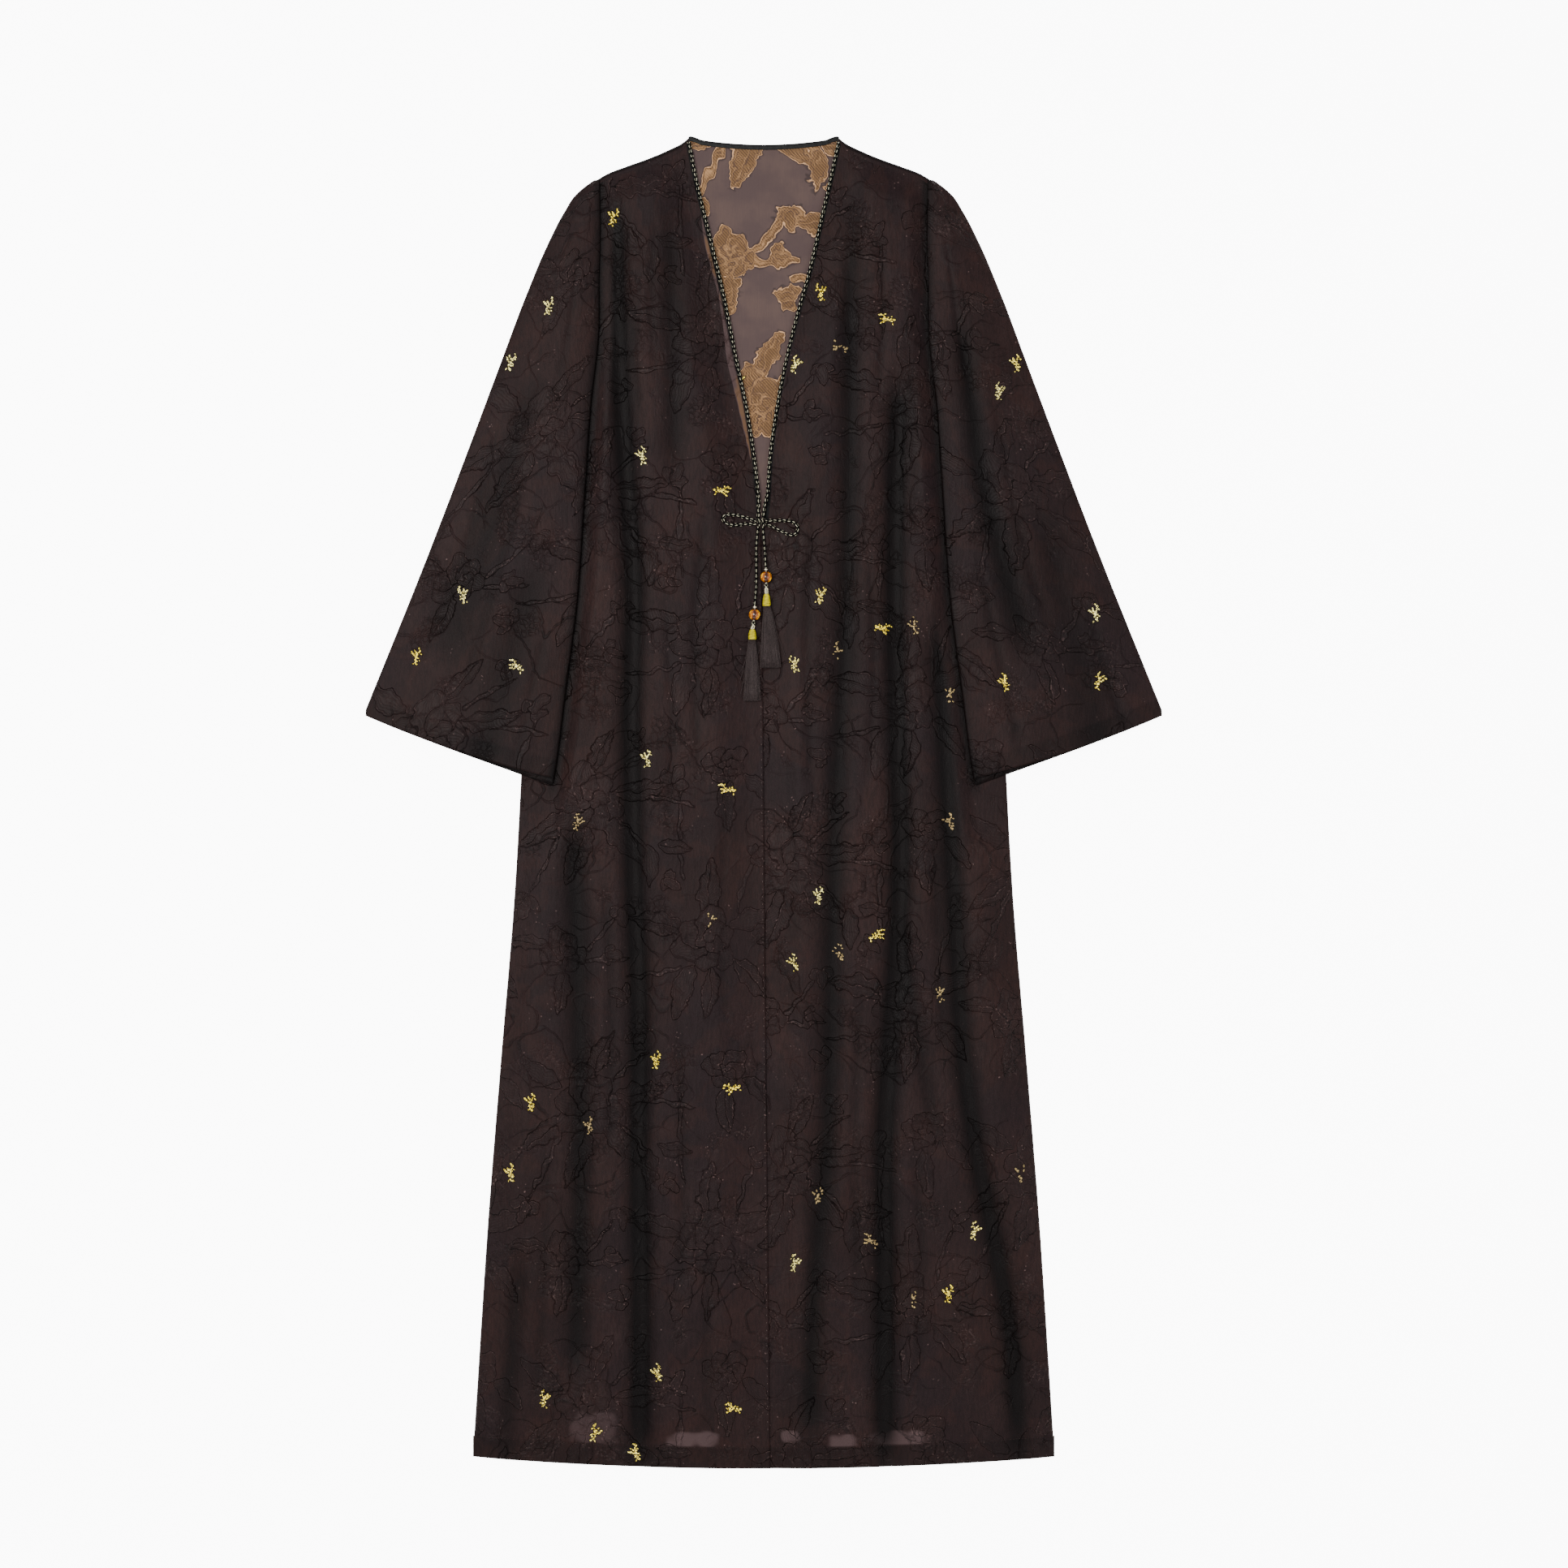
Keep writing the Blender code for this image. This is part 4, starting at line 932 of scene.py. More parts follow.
def small_figure(look):
    """Masks of the finer figure between the large one: vines, small petals and sparse glints."""
    bend = look.node("TexNoise", {"Vector": look.place(), "Scale": 45.0, "Detail": 2.0})
    bend = look.node("VectorMath", {0: bend.outputs["Color"], 1: (-0.5, -0.5, -0.5)},
                     operation="ADD").outputs[0]
    bend = look.node("VectorMath", {0: bend, "Scale": BEND}, operation="SCALE").outputs[0]
    bent = look.node("VectorMath", {0: look.place(), 1: bend}, operation="ADD").outputs[0]
    vines = []
    for scale, level in ((17.0, 0.46), (21.0, 0.56)):
        away = look.absolute(look.math("SUBTRACT", look.noise(scale, 0.0, where=bent), level))
        vines.append(look.step(away, 0.016, 0.003))
    vines = look.times(look.most(*vines), look.patches(11.0, 0.42, 0.6, 0.1, detail=3.0))
    cell = look.cells(bent, 165.0, "DISTANCE_TO_EDGE", Randomness=0.9)
    where = look.step(look.noise(24.0, 1.0, where=bent), 0.55, 0.66)
    petals = look.times(look.step(cell, 0.2, 0.02), where)
    dots = look.cells(bent, 230.0, "F1")
    return vines, petals, look.times(look.step(dots, 0.22, 0.1), look.patches(60.0, 0.6, 0.68))


def organza():
    """The dark outer face: a thin ground with an embossed figure and sheerer places, painted shade
    in its folds and painted glints on its figure.
    """
    look = Look("organza", shine=0.042)
    figure = figure_nodes(look)
    shade, through, trim = look.fields("under")
    vines, petals, glint_dots = small_figure(look)
    grain = look.noise(420.0, 3.0, (1.0, 0.22, 1.0), roughness=0.7)
    motif = look.mix(figure["tone"], (18, 12, 12), (29, 19, 18))
    strip = look.mix(through, (50, 38, 37), (74, 53, 34))
    patch = look.times(look.patches(20.0, 0.36, 0.62, 0.1, 0.7), look.patches(95.0, 0.36, 0.6, 0.3))
    # Dark lines of the figure: partly its woven outlines and partly painted shade on the low side of
    # its embossing
    lines = look.most(figure["outline"], look.times(figure["rib"], 0.3), look.most(vines, petals))
    worn = look.times(patch, look.patches(330.0, 0.3, 0.62, 0.5))
    # Painted highlights: glints on a line just inside the figure's outlines, on the small petals and
    # at scattered dots
    light = look.most(figure["light"], look.times(petals, 0.5))
    glint = look.times(look.times(light, look.patches(420.0, 0.5, 0.68, 0.12, 0.9)),
                       look.patches(31.0, 0.4, 0.62, 0.15, 0.6, detail=1.0))
    glint = look.most(glint, look.times(glint_dots, 0.8))
    ground = look.mix(look.patches(5.0, 0.35, 0.65), (21, 13, 14), (23, 13, 12))
    look.set("Base Color", look.paint(
        ground,
        (look.patches(13.0, 0.42, 0.72, detail=3.0, stretch=(1.0, 0.6, 1.0)), (29, 18, 17)),
        (look.times(through, 0.3), (33, 18, 15)),
        (look.times(figure["fill"], 0.4), motif),
        (look.step(grain, 0.35, 0.7, 0.0, 0.45), (10, 6, 6)),
        (look.step(figure["sheer"], 0.05, 0.6), (53, 41, 41)),
        (look.step(figure["sheer"], 0.5, 0.75, 0.0, 0.75), strip),
        # The dark figure lines, partly painted shade of the embossing
        (look.times(lines, worn), (3, 2, 2)),
        (glint, (72, 56, 54)),
        # Painted shade of the folds, creases, sleeve edges and lower layers, from the mesh's under
        # field
        (look.times(shade, 0.9), (2, 1, 1)),
        (trim, (3, 3, 3))))
    look.set("Roughness", look.math("MULTIPLY_ADD", figure["fill"], -0.06, 0.5))
    height = look.times(figure["outline"], look.math("MULTIPLY_ADD", patch, 1.1, 0.3))
    height = look.pile(height, (figure["fill"], 0.25), (figure["inner"], 0.1),
                       (figure["rib"], 0.12), (vines, 0.5), (petals, -0.4), (grain, 0.35))
    look.bump(height, 0.0012, 0.95)
    return look.material


def organza_inside():
    """The inner face: a mauve ground with broad tan figures, hatched and edged in cream, with a
    painted shadow just outside them.
    """
    look = Look("organza_back", roughness=0.62, shine=0.12)
    figure = figure_nodes(look)
    spread = figure["lowest"]
    fill = look.step(spread, SPREAD + 0.35, SPREAD - 0.35)
    ground = look.mix(look.patches(30.0, 0.35, 0.7, detail=3.0), (54, 41, 39), (63, 49, 44))
    threads = look.times(look.noise(500.0, 1.0, (2.2, 0.15, 1.0)), 0.4)
    hatch = look.wave(-42.0, BAND / HATCH_PITCH, 0.5)
    tan = look.mix(look.noise(55.0, 3.0), (72, 51, 30), (94, 68, 40))
    tan = look.paint(
        look.mix(look.step(hatch, 0.1, 0.8, 0.15, 1.0), (56, 38, 22), tan),
        (look.times(look.most(figure["outline"], figure["rib"]),
                    look.patches(70.0, 0.4, 0.62, 0.0, 0.55)), (140, 106, 72)),
        (look.times(figure["inner"], look.patches(85.0, 0.3, 0.6, 0.25, 0.85)), (52, 36, 28)),
        (look.times(figure["light"], 0.35), (136, 103, 72)))
    # Painted shadow just outside the tan figures
    shadow = look.times(look.step(spread, SPREAD + 2.2, SPREAD + 0.4),
                        look.math("SUBTRACT", 1.0, fill))
    edge = look.step(look.absolute(look.math("SUBTRACT", spread, SPREAD - 0.6)), 0.8, 0.25)
    look.set("Base Color", look.paint(
        ground, (threads, (44, 32, 34)), (fill, tan),
        (look.times(shadow, 0.8), (32, 22, 21)),
        (look.times(edge, look.patches(90.0, 0.35, 0.65, 0.3, 0.95)), (158, 122, 90))))
    height = look.pile(look.times(fill, 0.5), (figure["outline"], 0.3),
                       (hatch, look.times(fill, 0.35)))
    look.bump(height, 0.0008, 0.8)
    return look.material


def spun(name, dark, light, scale=2600.0, detail=3.0, stretch=(1.0, 0.4, 1.0), span=(0.3, 0.7),
         roughness=0.75, metallic=0.0, shine=0.08, bump=(0.0002, 0.7)):
    """Thread or cloth of fine fibres with an uneven shade."""
    look = Look(name, roughness, metallic, shine)
    fibre = look.noise(scale, detail, stretch)
    look.set("Base Color", look.mix(look.step(fibre, *span), dark, light))
    look.bump(fibre, *bump)
    return look.material


def gold():
    """Gilt thread in noise spots of pale gold and olive, which are partly its own uneven tone and
    partly painted highlights and shade on the buds; yellower on some sprigs than on others.
    """
    look = Look("gold_sprig", metallic=0.85)
    spots = look.noise(850.0)
    broad = look.patches(7.0, 0.42, 0.58, detail=1.0)
    light = look.mix(broad, (250, 226, 84), (250, 238, 150))
    deep = look.mix(broad, (120, 96, 6), (104, 90, 48))
    # The pale spots stand for painted highlights and the olive ones for painted shade, as well as
    # the thread's own uneven tone
    look.set("Base Color", look.mix(look.step(spots, 0.4, 0.6), deep, light))
    look.set("Roughness", look.step(spots, 0.3, 0.7, 0.42, 0.2))
    look.bump(look.wave(35.0, 900.0), 0.0002, 0.6)
    return look.material


def bead_metal():
    look = Look("metal_bead", metallic=1.0)
    wear = look.noise(900.0)
    look.set("Base Color", look.mix(look.step(wear, 0.35, 0.7), (196, 182, 150), (232, 226, 206)))
    look.set("Roughness", look.step(wear, 0.3, 0.7, 0.18, 0.34))
    return look.material


def amber():
    """Marbled resin under a clear gloss: dark red-brown in its middle and orange to yellow towards
    its left and right sides, painted as light glowing through its sides, broken up by marbled clouds
    and veins.
    """
    look = Look("amber", roughness=0.1, shine=0.3)
    across = look.fields("bead")[0]
    cloud = look.math("MULTIPLY_ADD", look.noise(260.0, 3.0), 0.9, -0.45)
    lit_sides_marbled = look.math("ADD", look.absolute(across), cloud)
    veins = look.patches(320.0, 0.46, 0.6, detail=3.0, stretch=(1.8, 0.7, 1.0))
    # Painted light: by the bead's own x, its sides are painted orange and then yellow and its middle
    # dark red-brown; the noise clouds and veins marble that
    look.set("Base Color", look.paint(
        (40, 9, 1), (look.step(lit_sides_marbled, 0.12, 0.5), (126, 64, 2)),
        (look.times(veins, look.step(lit_sides_marbled, 0.35, 0.7)), (212, 150, 8))))
    return look.material


def floor_paint():
    look = Look("floor", roughness=0.8)
    look.set("Base Color", look.mix(look.noise(30.0, 3.0), (244, 244, 244), (248, 248, 248)))
    look.set("Emission Color", (255, 255, 255))
    look.set("Emission Strength", 8.0)
    return look.material


# Sheets of cloth

def garment_noise(x, drop, seed):
    """Softness of the cloth between its creases, in millimetres."""
    return (0.35 * soft_noise(x, 0.45 * drop, 62.0, seed)
            + 0.16 * soft_noise(x, 0.7 * drop, 26.0, seed + 1))


def woven(p, q, sheer, **settings):
    """The figure's fields at points of the cloth: edges, ribs, tone and sheerness."""
    edges, phase, tone = jacquard(p, q, **settings)
    ribs = np.stack([phase, tone, sheer + np.zeros_like(phase)], axis=-1)
    return np.concatenate([edges, ribs], axis=-1)


def cloth_piece(name, grid, fields, finish, flip=False, numbers=None):
    """A sheet that stands for its solid, from a grid of points and of fields."""
    mesh = mesh_from(name, grid, grid_quads(*grid.shape[:2], flip=flip), numbers)
    set_fields(mesh, fields)
    return link(name, mesh, finish, name[:-len("_cloth")])


def front_rise(side, x, drop):
    """Height of a front's cloth, from its wall's form and its finer creases."""
    mask = front_mask(side, x, drop)
    fine = garment_noise(x, drop, FRONT_SEEDS[side]) - fold_depth(CREASES[side], x, drop)
    sag = 1.0 - ramp(0.0, HEM_SAG_REACH, hem_drop(x) - drop)
    rise = front_height(side, x, drop) + CLOTH_UP + mask * fine - sag
    from_side = np.maximum(outer_edge(drop) - np.abs(x), 0.0)
    roll = np.clip(1.0 - from_side / SIDE_ROLL, 0.0, 1.0)
    rolled = SIDE_LEVEL + (rise - SIDE_LEVEL) * np.sqrt(1.0 - roll ** 2)
    return np.where(drop > CUFF, rolled, rise)


def bowed(drop, rows, top_lead, hem_lead, even):
    """Drops bowed to the upper edge and the hem, and left even between the two given."""
    return (drop + (1.0 - ramp(rows[0], even[0], rows)) * top_lead
            + ramp(even[1], HEM_CORNER, rows) * hem_lead)


def front_plan(side):
    """Plan of one front's cloth: x and drop of a fine grid, shoulder to hem and edge to side."""
    top = float(smooth(SHOULDER, SHOULDER_HALF)) + SEAM_BELOW_SHOULDER_FOLD
    rows = np.linspace(top, HEM_CORNER, int((HEM_CORNER - top) / FRONT_SPACING))[:, None]
    inner_drop = bowed(rows, rows, NECK_CORNER - top, HEM_RISE, EVEN_EDGE)
    inner_x = front_edge(side, inner_drop)
    outer_x = side * outer_edge(rows)
    covered = (smooth(SLEEVE_INNER, rows) - SLEEVE_COVERS) * side
    near = np.linspace(0.0, 1.0, FRONT_NEAR + 1)
    far = 1.0 - (1.0 - np.linspace(0.0, 1.0, FRONT_FAR + 1)[1:]) ** 1.25
    x = np.concatenate([inner_x + (covered - inner_x) * near,
                        covered + (outer_x - covered) * far], axis=1)
    share = (x - inner_x) / (outer_x - inner_x)
    drop = inner_drop + (rows - inner_drop) * share
    seam = smooth(SHOULDER, np.clip(np.abs(x[0]), NECK_HALF, SHOULDER_HALF))
    seam_lead = seam + SEAM_BELOW_SHOULDER_FOLD * from_neck(x[0]) - drop[0]
    seam_lead = seam_lead - seam_lead[0] * (1.0 - share[0])
    return x, bowed(drop, rows, seam_lead, hem_drop(x[-1]) - drop[-1], EVEN_FRONT)


def from_neck(x):
    """0 at the neck corner, 1 a little way out along the shoulder."""
    return ramp(NECK_HALF - 2.0, NECK_HALF + 12.0, np.abs(x))


def front_sheer(side, x, drop):
    """How much more sheer the ground is than usual, from 0 to 1."""
    from_edge = from_opening(side, x, drop)
    width = smooth(STRIPS[side], drop)
    see = STRIP_SHEER * ramp(width + 0.6, width - 0.6, from_edge) * ramp(0.3, 1.5, width)
    see = see * (drop < STRIPS_END)
    uneven = 0.4 * soft_noise(x, drop, 19.0, 31)
    below = ramp(HEM_TURN - 1.0, HEM_TURN + 1.0, hem_drop(x) - drop)
    for window_x, window_drop, half_x, half_drop, strength in WINDOWS:
        away = np.abs((x - window_x) / half_x) ** 3 + ((drop - window_drop) / half_drop) ** 4
        see = np.maximum(see, strength * ramp(1.35, 0.1, away + uneven) * below)
    return see


def shown_through(p, q):
    """Where the figure of the layer below tints the sheer cloth over it, from 0 to 1."""
    return ramp(2.5, -2.5, np.min(jacquard(p, q)[0], axis=-1))


def front_under(side, x, drop):
    """Painted shade of the folds and creases, a painted shadow beside the sleeve's inner edge and a
    darker band where the hem turns under; the tint of the back below; and the black band along the
    V.
    """
    # Painted shade, darker down the folds and creases
    deep = fold_depth(FOLDS[side], x, drop) / 4.2 + 0.35 * fold_depth(CREASES[side], x, drop)
    # Painted shadow that the sleeve's inner edge casts on the front beside it
    beside = smooth(SLEEVE_INNER, drop) - np.abs(x)
    beside = np.exp(-(beside / 6.5) ** 2) * ramp(CUFF + 34.0, CUFF + 6.0, drop)
    hem = 0.3 * ramp(HEM_TURN + 0.6, HEM_TURN - 0.6, hem_drop(x) - drop)
    shade = np.clip(front_mask(side, x, drop) * deep + 0.95 * beside + hem, 0.0, 1.0)
    through = shown_through(x + BACK_SHIFT[0], drop + BACK_SHIFT[1])
    trim = ramp(*TRIM_BAND, from_opening(side, x, drop)) * (drop < KNOT[1])
    return np.stack([shade, through, trim], axis=-1)


def add_front(name, side, finish):
    """One front: its cloth, with its opening edge and its hem turned under."""
    x, drop = front_plan(side)
    shift_x, shift_drop = FIGURE_SHIFT[side]
    fields = woven(x + shift_x, drop + shift_drop, front_sheer(side, x, drop))
    under = front_under(side, x, drop)
    layers = [(x, drop, front_rise(side, x, drop) + relief(fields[..., :3]), fields, under)]
    for inward, below in HEM_LAYERS:
        hem_x, inner_drop = x[-1:], drop[-1:] - inward
        lower = np.maximum(front_rise(side, hem_x, inner_drop) - below, 0.35)
        fields = woven(hem_x + shift_x + HEM_SHIFT, inner_drop + shift_drop, 0.0)
        layers.append((hem_x, inner_drop, lower, fields, under[-1:]))
    x, drop, height, fields, under = [np.concatenate(parts) for parts in zip(*layers)]

    turned = []
    for inward, below in EDGE_LAYERS:
        inward = np.minimum(inward, 1.2 + 1.1 * np.maximum(drop[:, 0] - drop[0, 0], 0.0))
        turned.append(places(x[:, 0] + side * inward, drop[:, 0],
                             np.maximum(height[:, 0] - below, 0.3)))
    grid = np.concatenate([np.stack(turned, axis=1), places(x, drop, height)], axis=1)
    fields = np.concatenate([fields, under], axis=-1)
    fields = np.concatenate([np.repeat(fields[:, :1], len(turned), axis=1), fields], axis=1)
    item = cloth_piece(name, grid, fields, finish, flip=side < 0)
    return item, Surface(grid[:len(x) - len(HEM_LAYERS):2, len(turned)::2])


def add_back(finish):
    """The back: flat on the surface, with its shoulders rolled over to meet the fronts."""
    top = float(smooth(SHOULDER, SHOULDER_HALF))
    upper = np.linspace(top, FINE_ROWS_END, BACK_UPPER)
    lower = np.linspace(FINE_ROWS_END, HEM_CORNER, BACK_LOWER)[1:]
    rows = np.concatenate([upper, lower])[:, None]
    middle = np.linspace(-MIDDLE_SHARE, MIDDLE_SHARE, BACK_MIDDLE + 1)
    side = np.linspace(MIDDLE_SHARE, 1.0, BACK_SIDE + 1)[1:]
    x = outer_edge(rows) * np.concatenate([-side[::-1], middle, side])
    hem_lead = smooth(BACK_HEM, x[-1]) - HEM_CORNER
    drop = bowed(rows, rows, back_top(x[0]) - top, hem_lead, EVEN_BACK)
    fields = woven(x + BACK_SHIFT[0], drop + BACK_SHIFT[1], 0.0, wobble=2.1, frill=1.9)
    last_lobes = TAN_END + 6.0 * np.abs(np.sin(0.24 * x + 0.6)) + 2.0 * soft_noise(x, drop, 9.0, 51)
    bare = np.where(np.abs(x) < 60.0, np.clip(drop - last_lobes, -FAR_AWAY, FAR_AWAY), -FAR_AWAY)
    fields[..., :3] = np.maximum(fields[..., :3], bare[..., None])
    height = BACK_LEVEL + BACK_UP + relief(fields[..., :3]) + 0.12 * soft_noise(x, drop, 70.0, 41)
    across = np.abs(x) / outer_edge(drop)
    height = height * ramp(1.0, 0.985, across) + 0.9 * ramp(0.985, 1.0, across)
    at_fold = ramp(5.0, 1.0, drop - back_top(x)) * (np.abs(x) > NECK_HALF)
    grid = places(x, drop + 0.9 * at_fold, height + (0.5 - height) * at_fold)
    item = cloth_piece("back_cloth", grid, fields, finish)
    return item, Surface(grid[::2, ::2])


def add_shoulder_rolls(finish):
    """The back's upper edge, rolled over the shoulder fold to its seam on each front."""
    rolls, fields = Tubes(), []
    for side in (-1, 1):
        x = side * np.linspace(NECK_HALF + 0.3, SHOULDER_HALF, 90)
        to_neck = (SHOULDER_HALF - np.abs(x)) / (SHOULDER_HALF - NECK_HALF)
        reach = SEAM_BELOW_SHOULDER_FOLD * from_neck(x) + NECK_CORNER * to_neck + 0.7
        grid = np.stack([places(x, back_top(x) + share * reach, height)
                         for share, height in BACK_ROLL])
        rolls.add_grid(grid, flip=side < 0)
        plain = np.tile((FAR_AWAY,) * 3 + (0.5,) + (0.0,) * 5, grid.shape[:2] + (1,))
        # Painted shade: a dark line along the shoulder fold, on the roll's first rows
        plain[:3, :, 6] = 0.9
        fields.append(plain.reshape(-1, 9))
    mesh = rolls.mesh("shoulder_rolls")
    set_fields(mesh, np.concatenate(fields))
    return link("shoulder_rolls", mesh, finish)


# Sleeves

def sleeve_form(side, folds):
    """The sleeve's cloth as a flattened tube: x, height, drop, which layer and rows of a grid."""
    rows = np.linspace(ARMHOLE_TOP, CUFF, SLEEVE_ROWS)[:, None]
    share = (rows - ARMHOLE_TOP) / (CUFF - ARMHOLE_TOP)
    slope = CUFF_SLOPE * ramp(0.0, 1.0, share)
    body_x = outer_edge(rows)
    outer_x, inner_x = body_x, body_x
    for _ in range(12):
        outer_x = smooth(SLEEVE_OUTER, rows + slope * (body_x - outer_x))
        inner_x = smooth(SLEEVE_INNER, rows + slope * (body_x - inner_x))

    def around(start, radius, bottom, turns):
        """x and height round a fold, from its middle line, radius and lowest level."""
        turns = np.radians(turns)
        return start + radius * np.cos(turns), bottom + radius * (1.0 + np.sin(turns)) + 0.0 * start

    shut = ramp(ARMPIT - 1.0, ARMPIT + 2.0, rows)
    inner_radius = INNER_FOLD_RADIUS + INNER_FOLD_OPENS * ramp(90.0, 330.0, rows)
    inner_start = inner_x + WALL / 2 + inner_radius
    outer_start = outer_x - WALL / 2 - OUTER_FOLD_RADIUS
    tuck_start = body_x + TUCK_PAST_SEAM * shut
    tuck_x = tuck_start + (inner_start - tuck_start) * np.linspace(0.0, 1.0, TUCK + 1)[:-1]
    inner_fold_x, inner_fold_z = around(inner_start, inner_radius, OVER_FRONT_LEVEL,
                                        np.linspace(-90.0, -270.0, INNER_FOLD))
    outer_fold_x, outer_fold_z = around(outer_start, OUTER_FOLD_RADIUS, BACK_LEVEL,
                                        np.linspace(90.0, -90.0, OUTER_FOLD))

    part = np.linspace(1.0, 0.0, UPPER + 2)[1:-1] + 0.0 * rows
    drops = rows + 0.0 * part
    wide = ramp(6.0, 70.0, outer_x - inner_x)
    upper_x = outer_start + (inner_start - outer_start) * part
    inner_top = OVER_FRONT_LEVEL + 2.0 * inner_radius
    outer_top = BACK_LEVEL + 2.0 * OUTER_FOLD_RADIUS
    rise = outer_top + (inner_top - outer_top) * ramp(0.0, 0.75, part)
    full = rise + SLEEVE_CROWN * wide * (4.0 * part * (1.0 - part)) ** 0.7
    upper_z = np.maximum(full - fold_depth(folds, part, drops) * wide, rise - 0.4)
    calm = ramp(0.0, 0.12, part) * ramp(1.0, 0.9, part) * wide
    fine = fold_depth(SLEEVE_CREASES[side], part, drops)
    upper_z = upper_z + calm * (garment_noise(upper_x, drops, SLEEVE_SEEDS[side]) - fine)

    foot = np.minimum(FOOT_REACH, 0.5 * (outer_start - body_x))
    end_x = (body_x + 0.5) * (1.0 - shut) + tuck_start * shut
    lower_x = outer_start + (end_x - outer_start) * np.linspace(0.0, 1.0, LOWER + 1)[1:]
    lift = ramp(0.0, 1.0, 1.0 - np.clip((lower_x - tuck_start) / foot, 0.0, 1.0))
    lower_z = BACK_LEVEL + (OVER_FRONT_LEVEL - BACK_LEVEL) * lift * shut

    x = np.concatenate([tuck_x, inner_fold_x, upper_x, outer_fold_x, lower_x], axis=1)
    z = np.concatenate([OVER_FRONT_LEVEL + 0.0 * tuck_x, inner_fold_z, upper_z, outer_fold_z,
                        lower_z], axis=1)
    under = np.concatenate([np.ones(TUCK), np.linspace(1.0, 0.0, INNER_FOLD), np.zeros(UPPER),
                            np.linspace(0.0, 1.0, OUTER_FOLD), np.ones(LOWER)]) + 0.0 * x

    place_share = np.clip((outer_x - x) / (outer_x - inner_x), 0.0, 1.0)
    sag = CUFF_SAG * share * 4.0 * (place_share * (1.0 - place_share) - 0.23)
    drop = rows + slope * (body_x - x) + sag * ramp(0.5, 1.0, share)
    near_cuff = ramp(CUFF - 60.0, CUFF, rows)
    drop = drop + UNDER_CUFF_SHOWS * near_cuff * under * from_outer_fold(x) ** 3
    return x, z, drop, under, rows


def from_outer_fold(x):
    """Share of each row's width, from its outer fold."""
    return (x.max(axis=1, keepdims=True) - x) / np.ptp(x, axis=1, keepdims=True)


def add_sleeve(name, side, folds, finishes):
    """One sleeve: a flattened flared tube with its cuff turned inside."""
    x, z, drop, under, rows = sleeve_form(side, folds)
    along_x, along_z = np.gradient(x, axis=1), np.gradient(z, axis=1)
    length = np.maximum(np.hypot(along_x, along_z), 1e-6)
    out_x, out_z = -along_z / length, along_x / length
    steps = np.hypot(np.diff(x, axis=1, prepend=x[:, :1]), np.diff(z, axis=1, prepend=z[:, :1]))
    arc = np.cumsum(steps, axis=1)
    middle = TUCK + INNER_FOLD + UPPER + OUTER_FOLD // 2
    p = side * (arc - arc[:, middle:middle + 1]) + SLEEVE_SHIFT[side][0]
    q = drop + SLEEVE_SHIFT[side][1]
    fields = woven(p, q, 0.0)
    out = SLEEVE_OUT + relief(fields[..., :3]) * (1.0 - under)
    part = np.clip(from_outer_fold(x), 0.0, 1.0)
    drops = rows + 0.0 * x
    # Painted shade: darker down the sleeve's folds and creases, on the tuck and lower layer under
    # the upper sheet, and along its inner fold edge; the turned cuff band is darker too
    beside = np.maximum(x - x.min(axis=1, keepdims=True), 0.0)
    shade = (fold_depth(folds, part, drops) / 2.8
             + 0.4 * fold_depth(SLEEVE_CREASES[side], part, drops)
             + 0.3 * ramp(CUFF - CUFF_TURN - 0.6, CUFF - CUFF_TURN + 0.6, drops)
             + 0.5 * under + 0.8 * np.exp(-(beside / 6.0) ** 2))
    through = shown_through(p + SLEEVE_THROUGH[0], q + SLEEVE_THROUGH[1])
    fields = np.concatenate([fields, np.stack([np.clip(shade, 0.0, 1.0), through, 0.0 * p],
                                              axis=-1)], axis=-1)
    layers = [(x + out * out_x, z + out * out_z, drop, fields)]
    for back, inward in CUFF_LAYERS:
        row = [-1 - round(back * (SLEEVE_ROWS - 1) / (CUFF - ARMHOLE_TOP))]
        layers.append((x[row] + inward * out_x[row], z[row] + inward * out_z[row], drop[row],
                       fields[row]))
    x, z, drop, fields = [np.concatenate(parts) for parts in zip(*layers)]
    grid = places(side * x, drop, np.maximum(z, 0.12))
    numbers = np.zeros((grid.shape[0] - 1, grid.shape[1] - 1), dtype=int)
    numbers[:, -LOWER - 2:] = 1
    numbers[:, :TUCK] = 1
    numbers[SLEEVE_ROWS - 1:] = 0
    item = cloth_piece(name, grid, fields, finishes, side < 0, numbers.ravel())
    top = slice(TUCK + INNER_FOLD - 1, TUCK + INNER_FOLD + UPPER + 1)
    return item, Surface(grid[:SLEEVE_ROWS:2, top][:, ::2])


# Cords and the tie

def distance_along(points):
    gaps = np.linalg.norm(np.diff(points, axis=0), axis=1)
    return np.concatenate(([0.0], np.cumsum(gaps)))


def resample(route, spacing):
    """Points an even spacing apart on one smooth curve through the route's points."""
    route = np.array(route, dtype=float)
    along = distance_along(route)
    count = max(6, int(round(along[-1] / spacing)) + 1)
    stops = np.linspace(0.0, along[-1], count)
    return np.stack([smooth(list(zip(along, route[:, axis])), stops) for axis in range(3)], axis=1)


def metres(route):
    """A route of x, drop and height in millimetres as points in metres."""
    return places(*np.asarray(route, dtype=float).T)


class Core:
    """The middle line of a cord, with its length so far in millimetres and turns round it."""

    def __init__(self, route, spacing):
        self.centres = metres(resample(route, spacing))
        self.side, self.lift = directions(self.centres)
        self.along = distance_along(self.centres) / MM

    def beside(self, out, angle):
        """Points at that distance in metres and angle round the middle line."""
        out = np.broadcast_to(out, angle.shape)[:, None]
        return self.centres + out * (self.side * np.cos(angle)[:, None]
                                     + self.lift * np.sin(angle)[:, None])


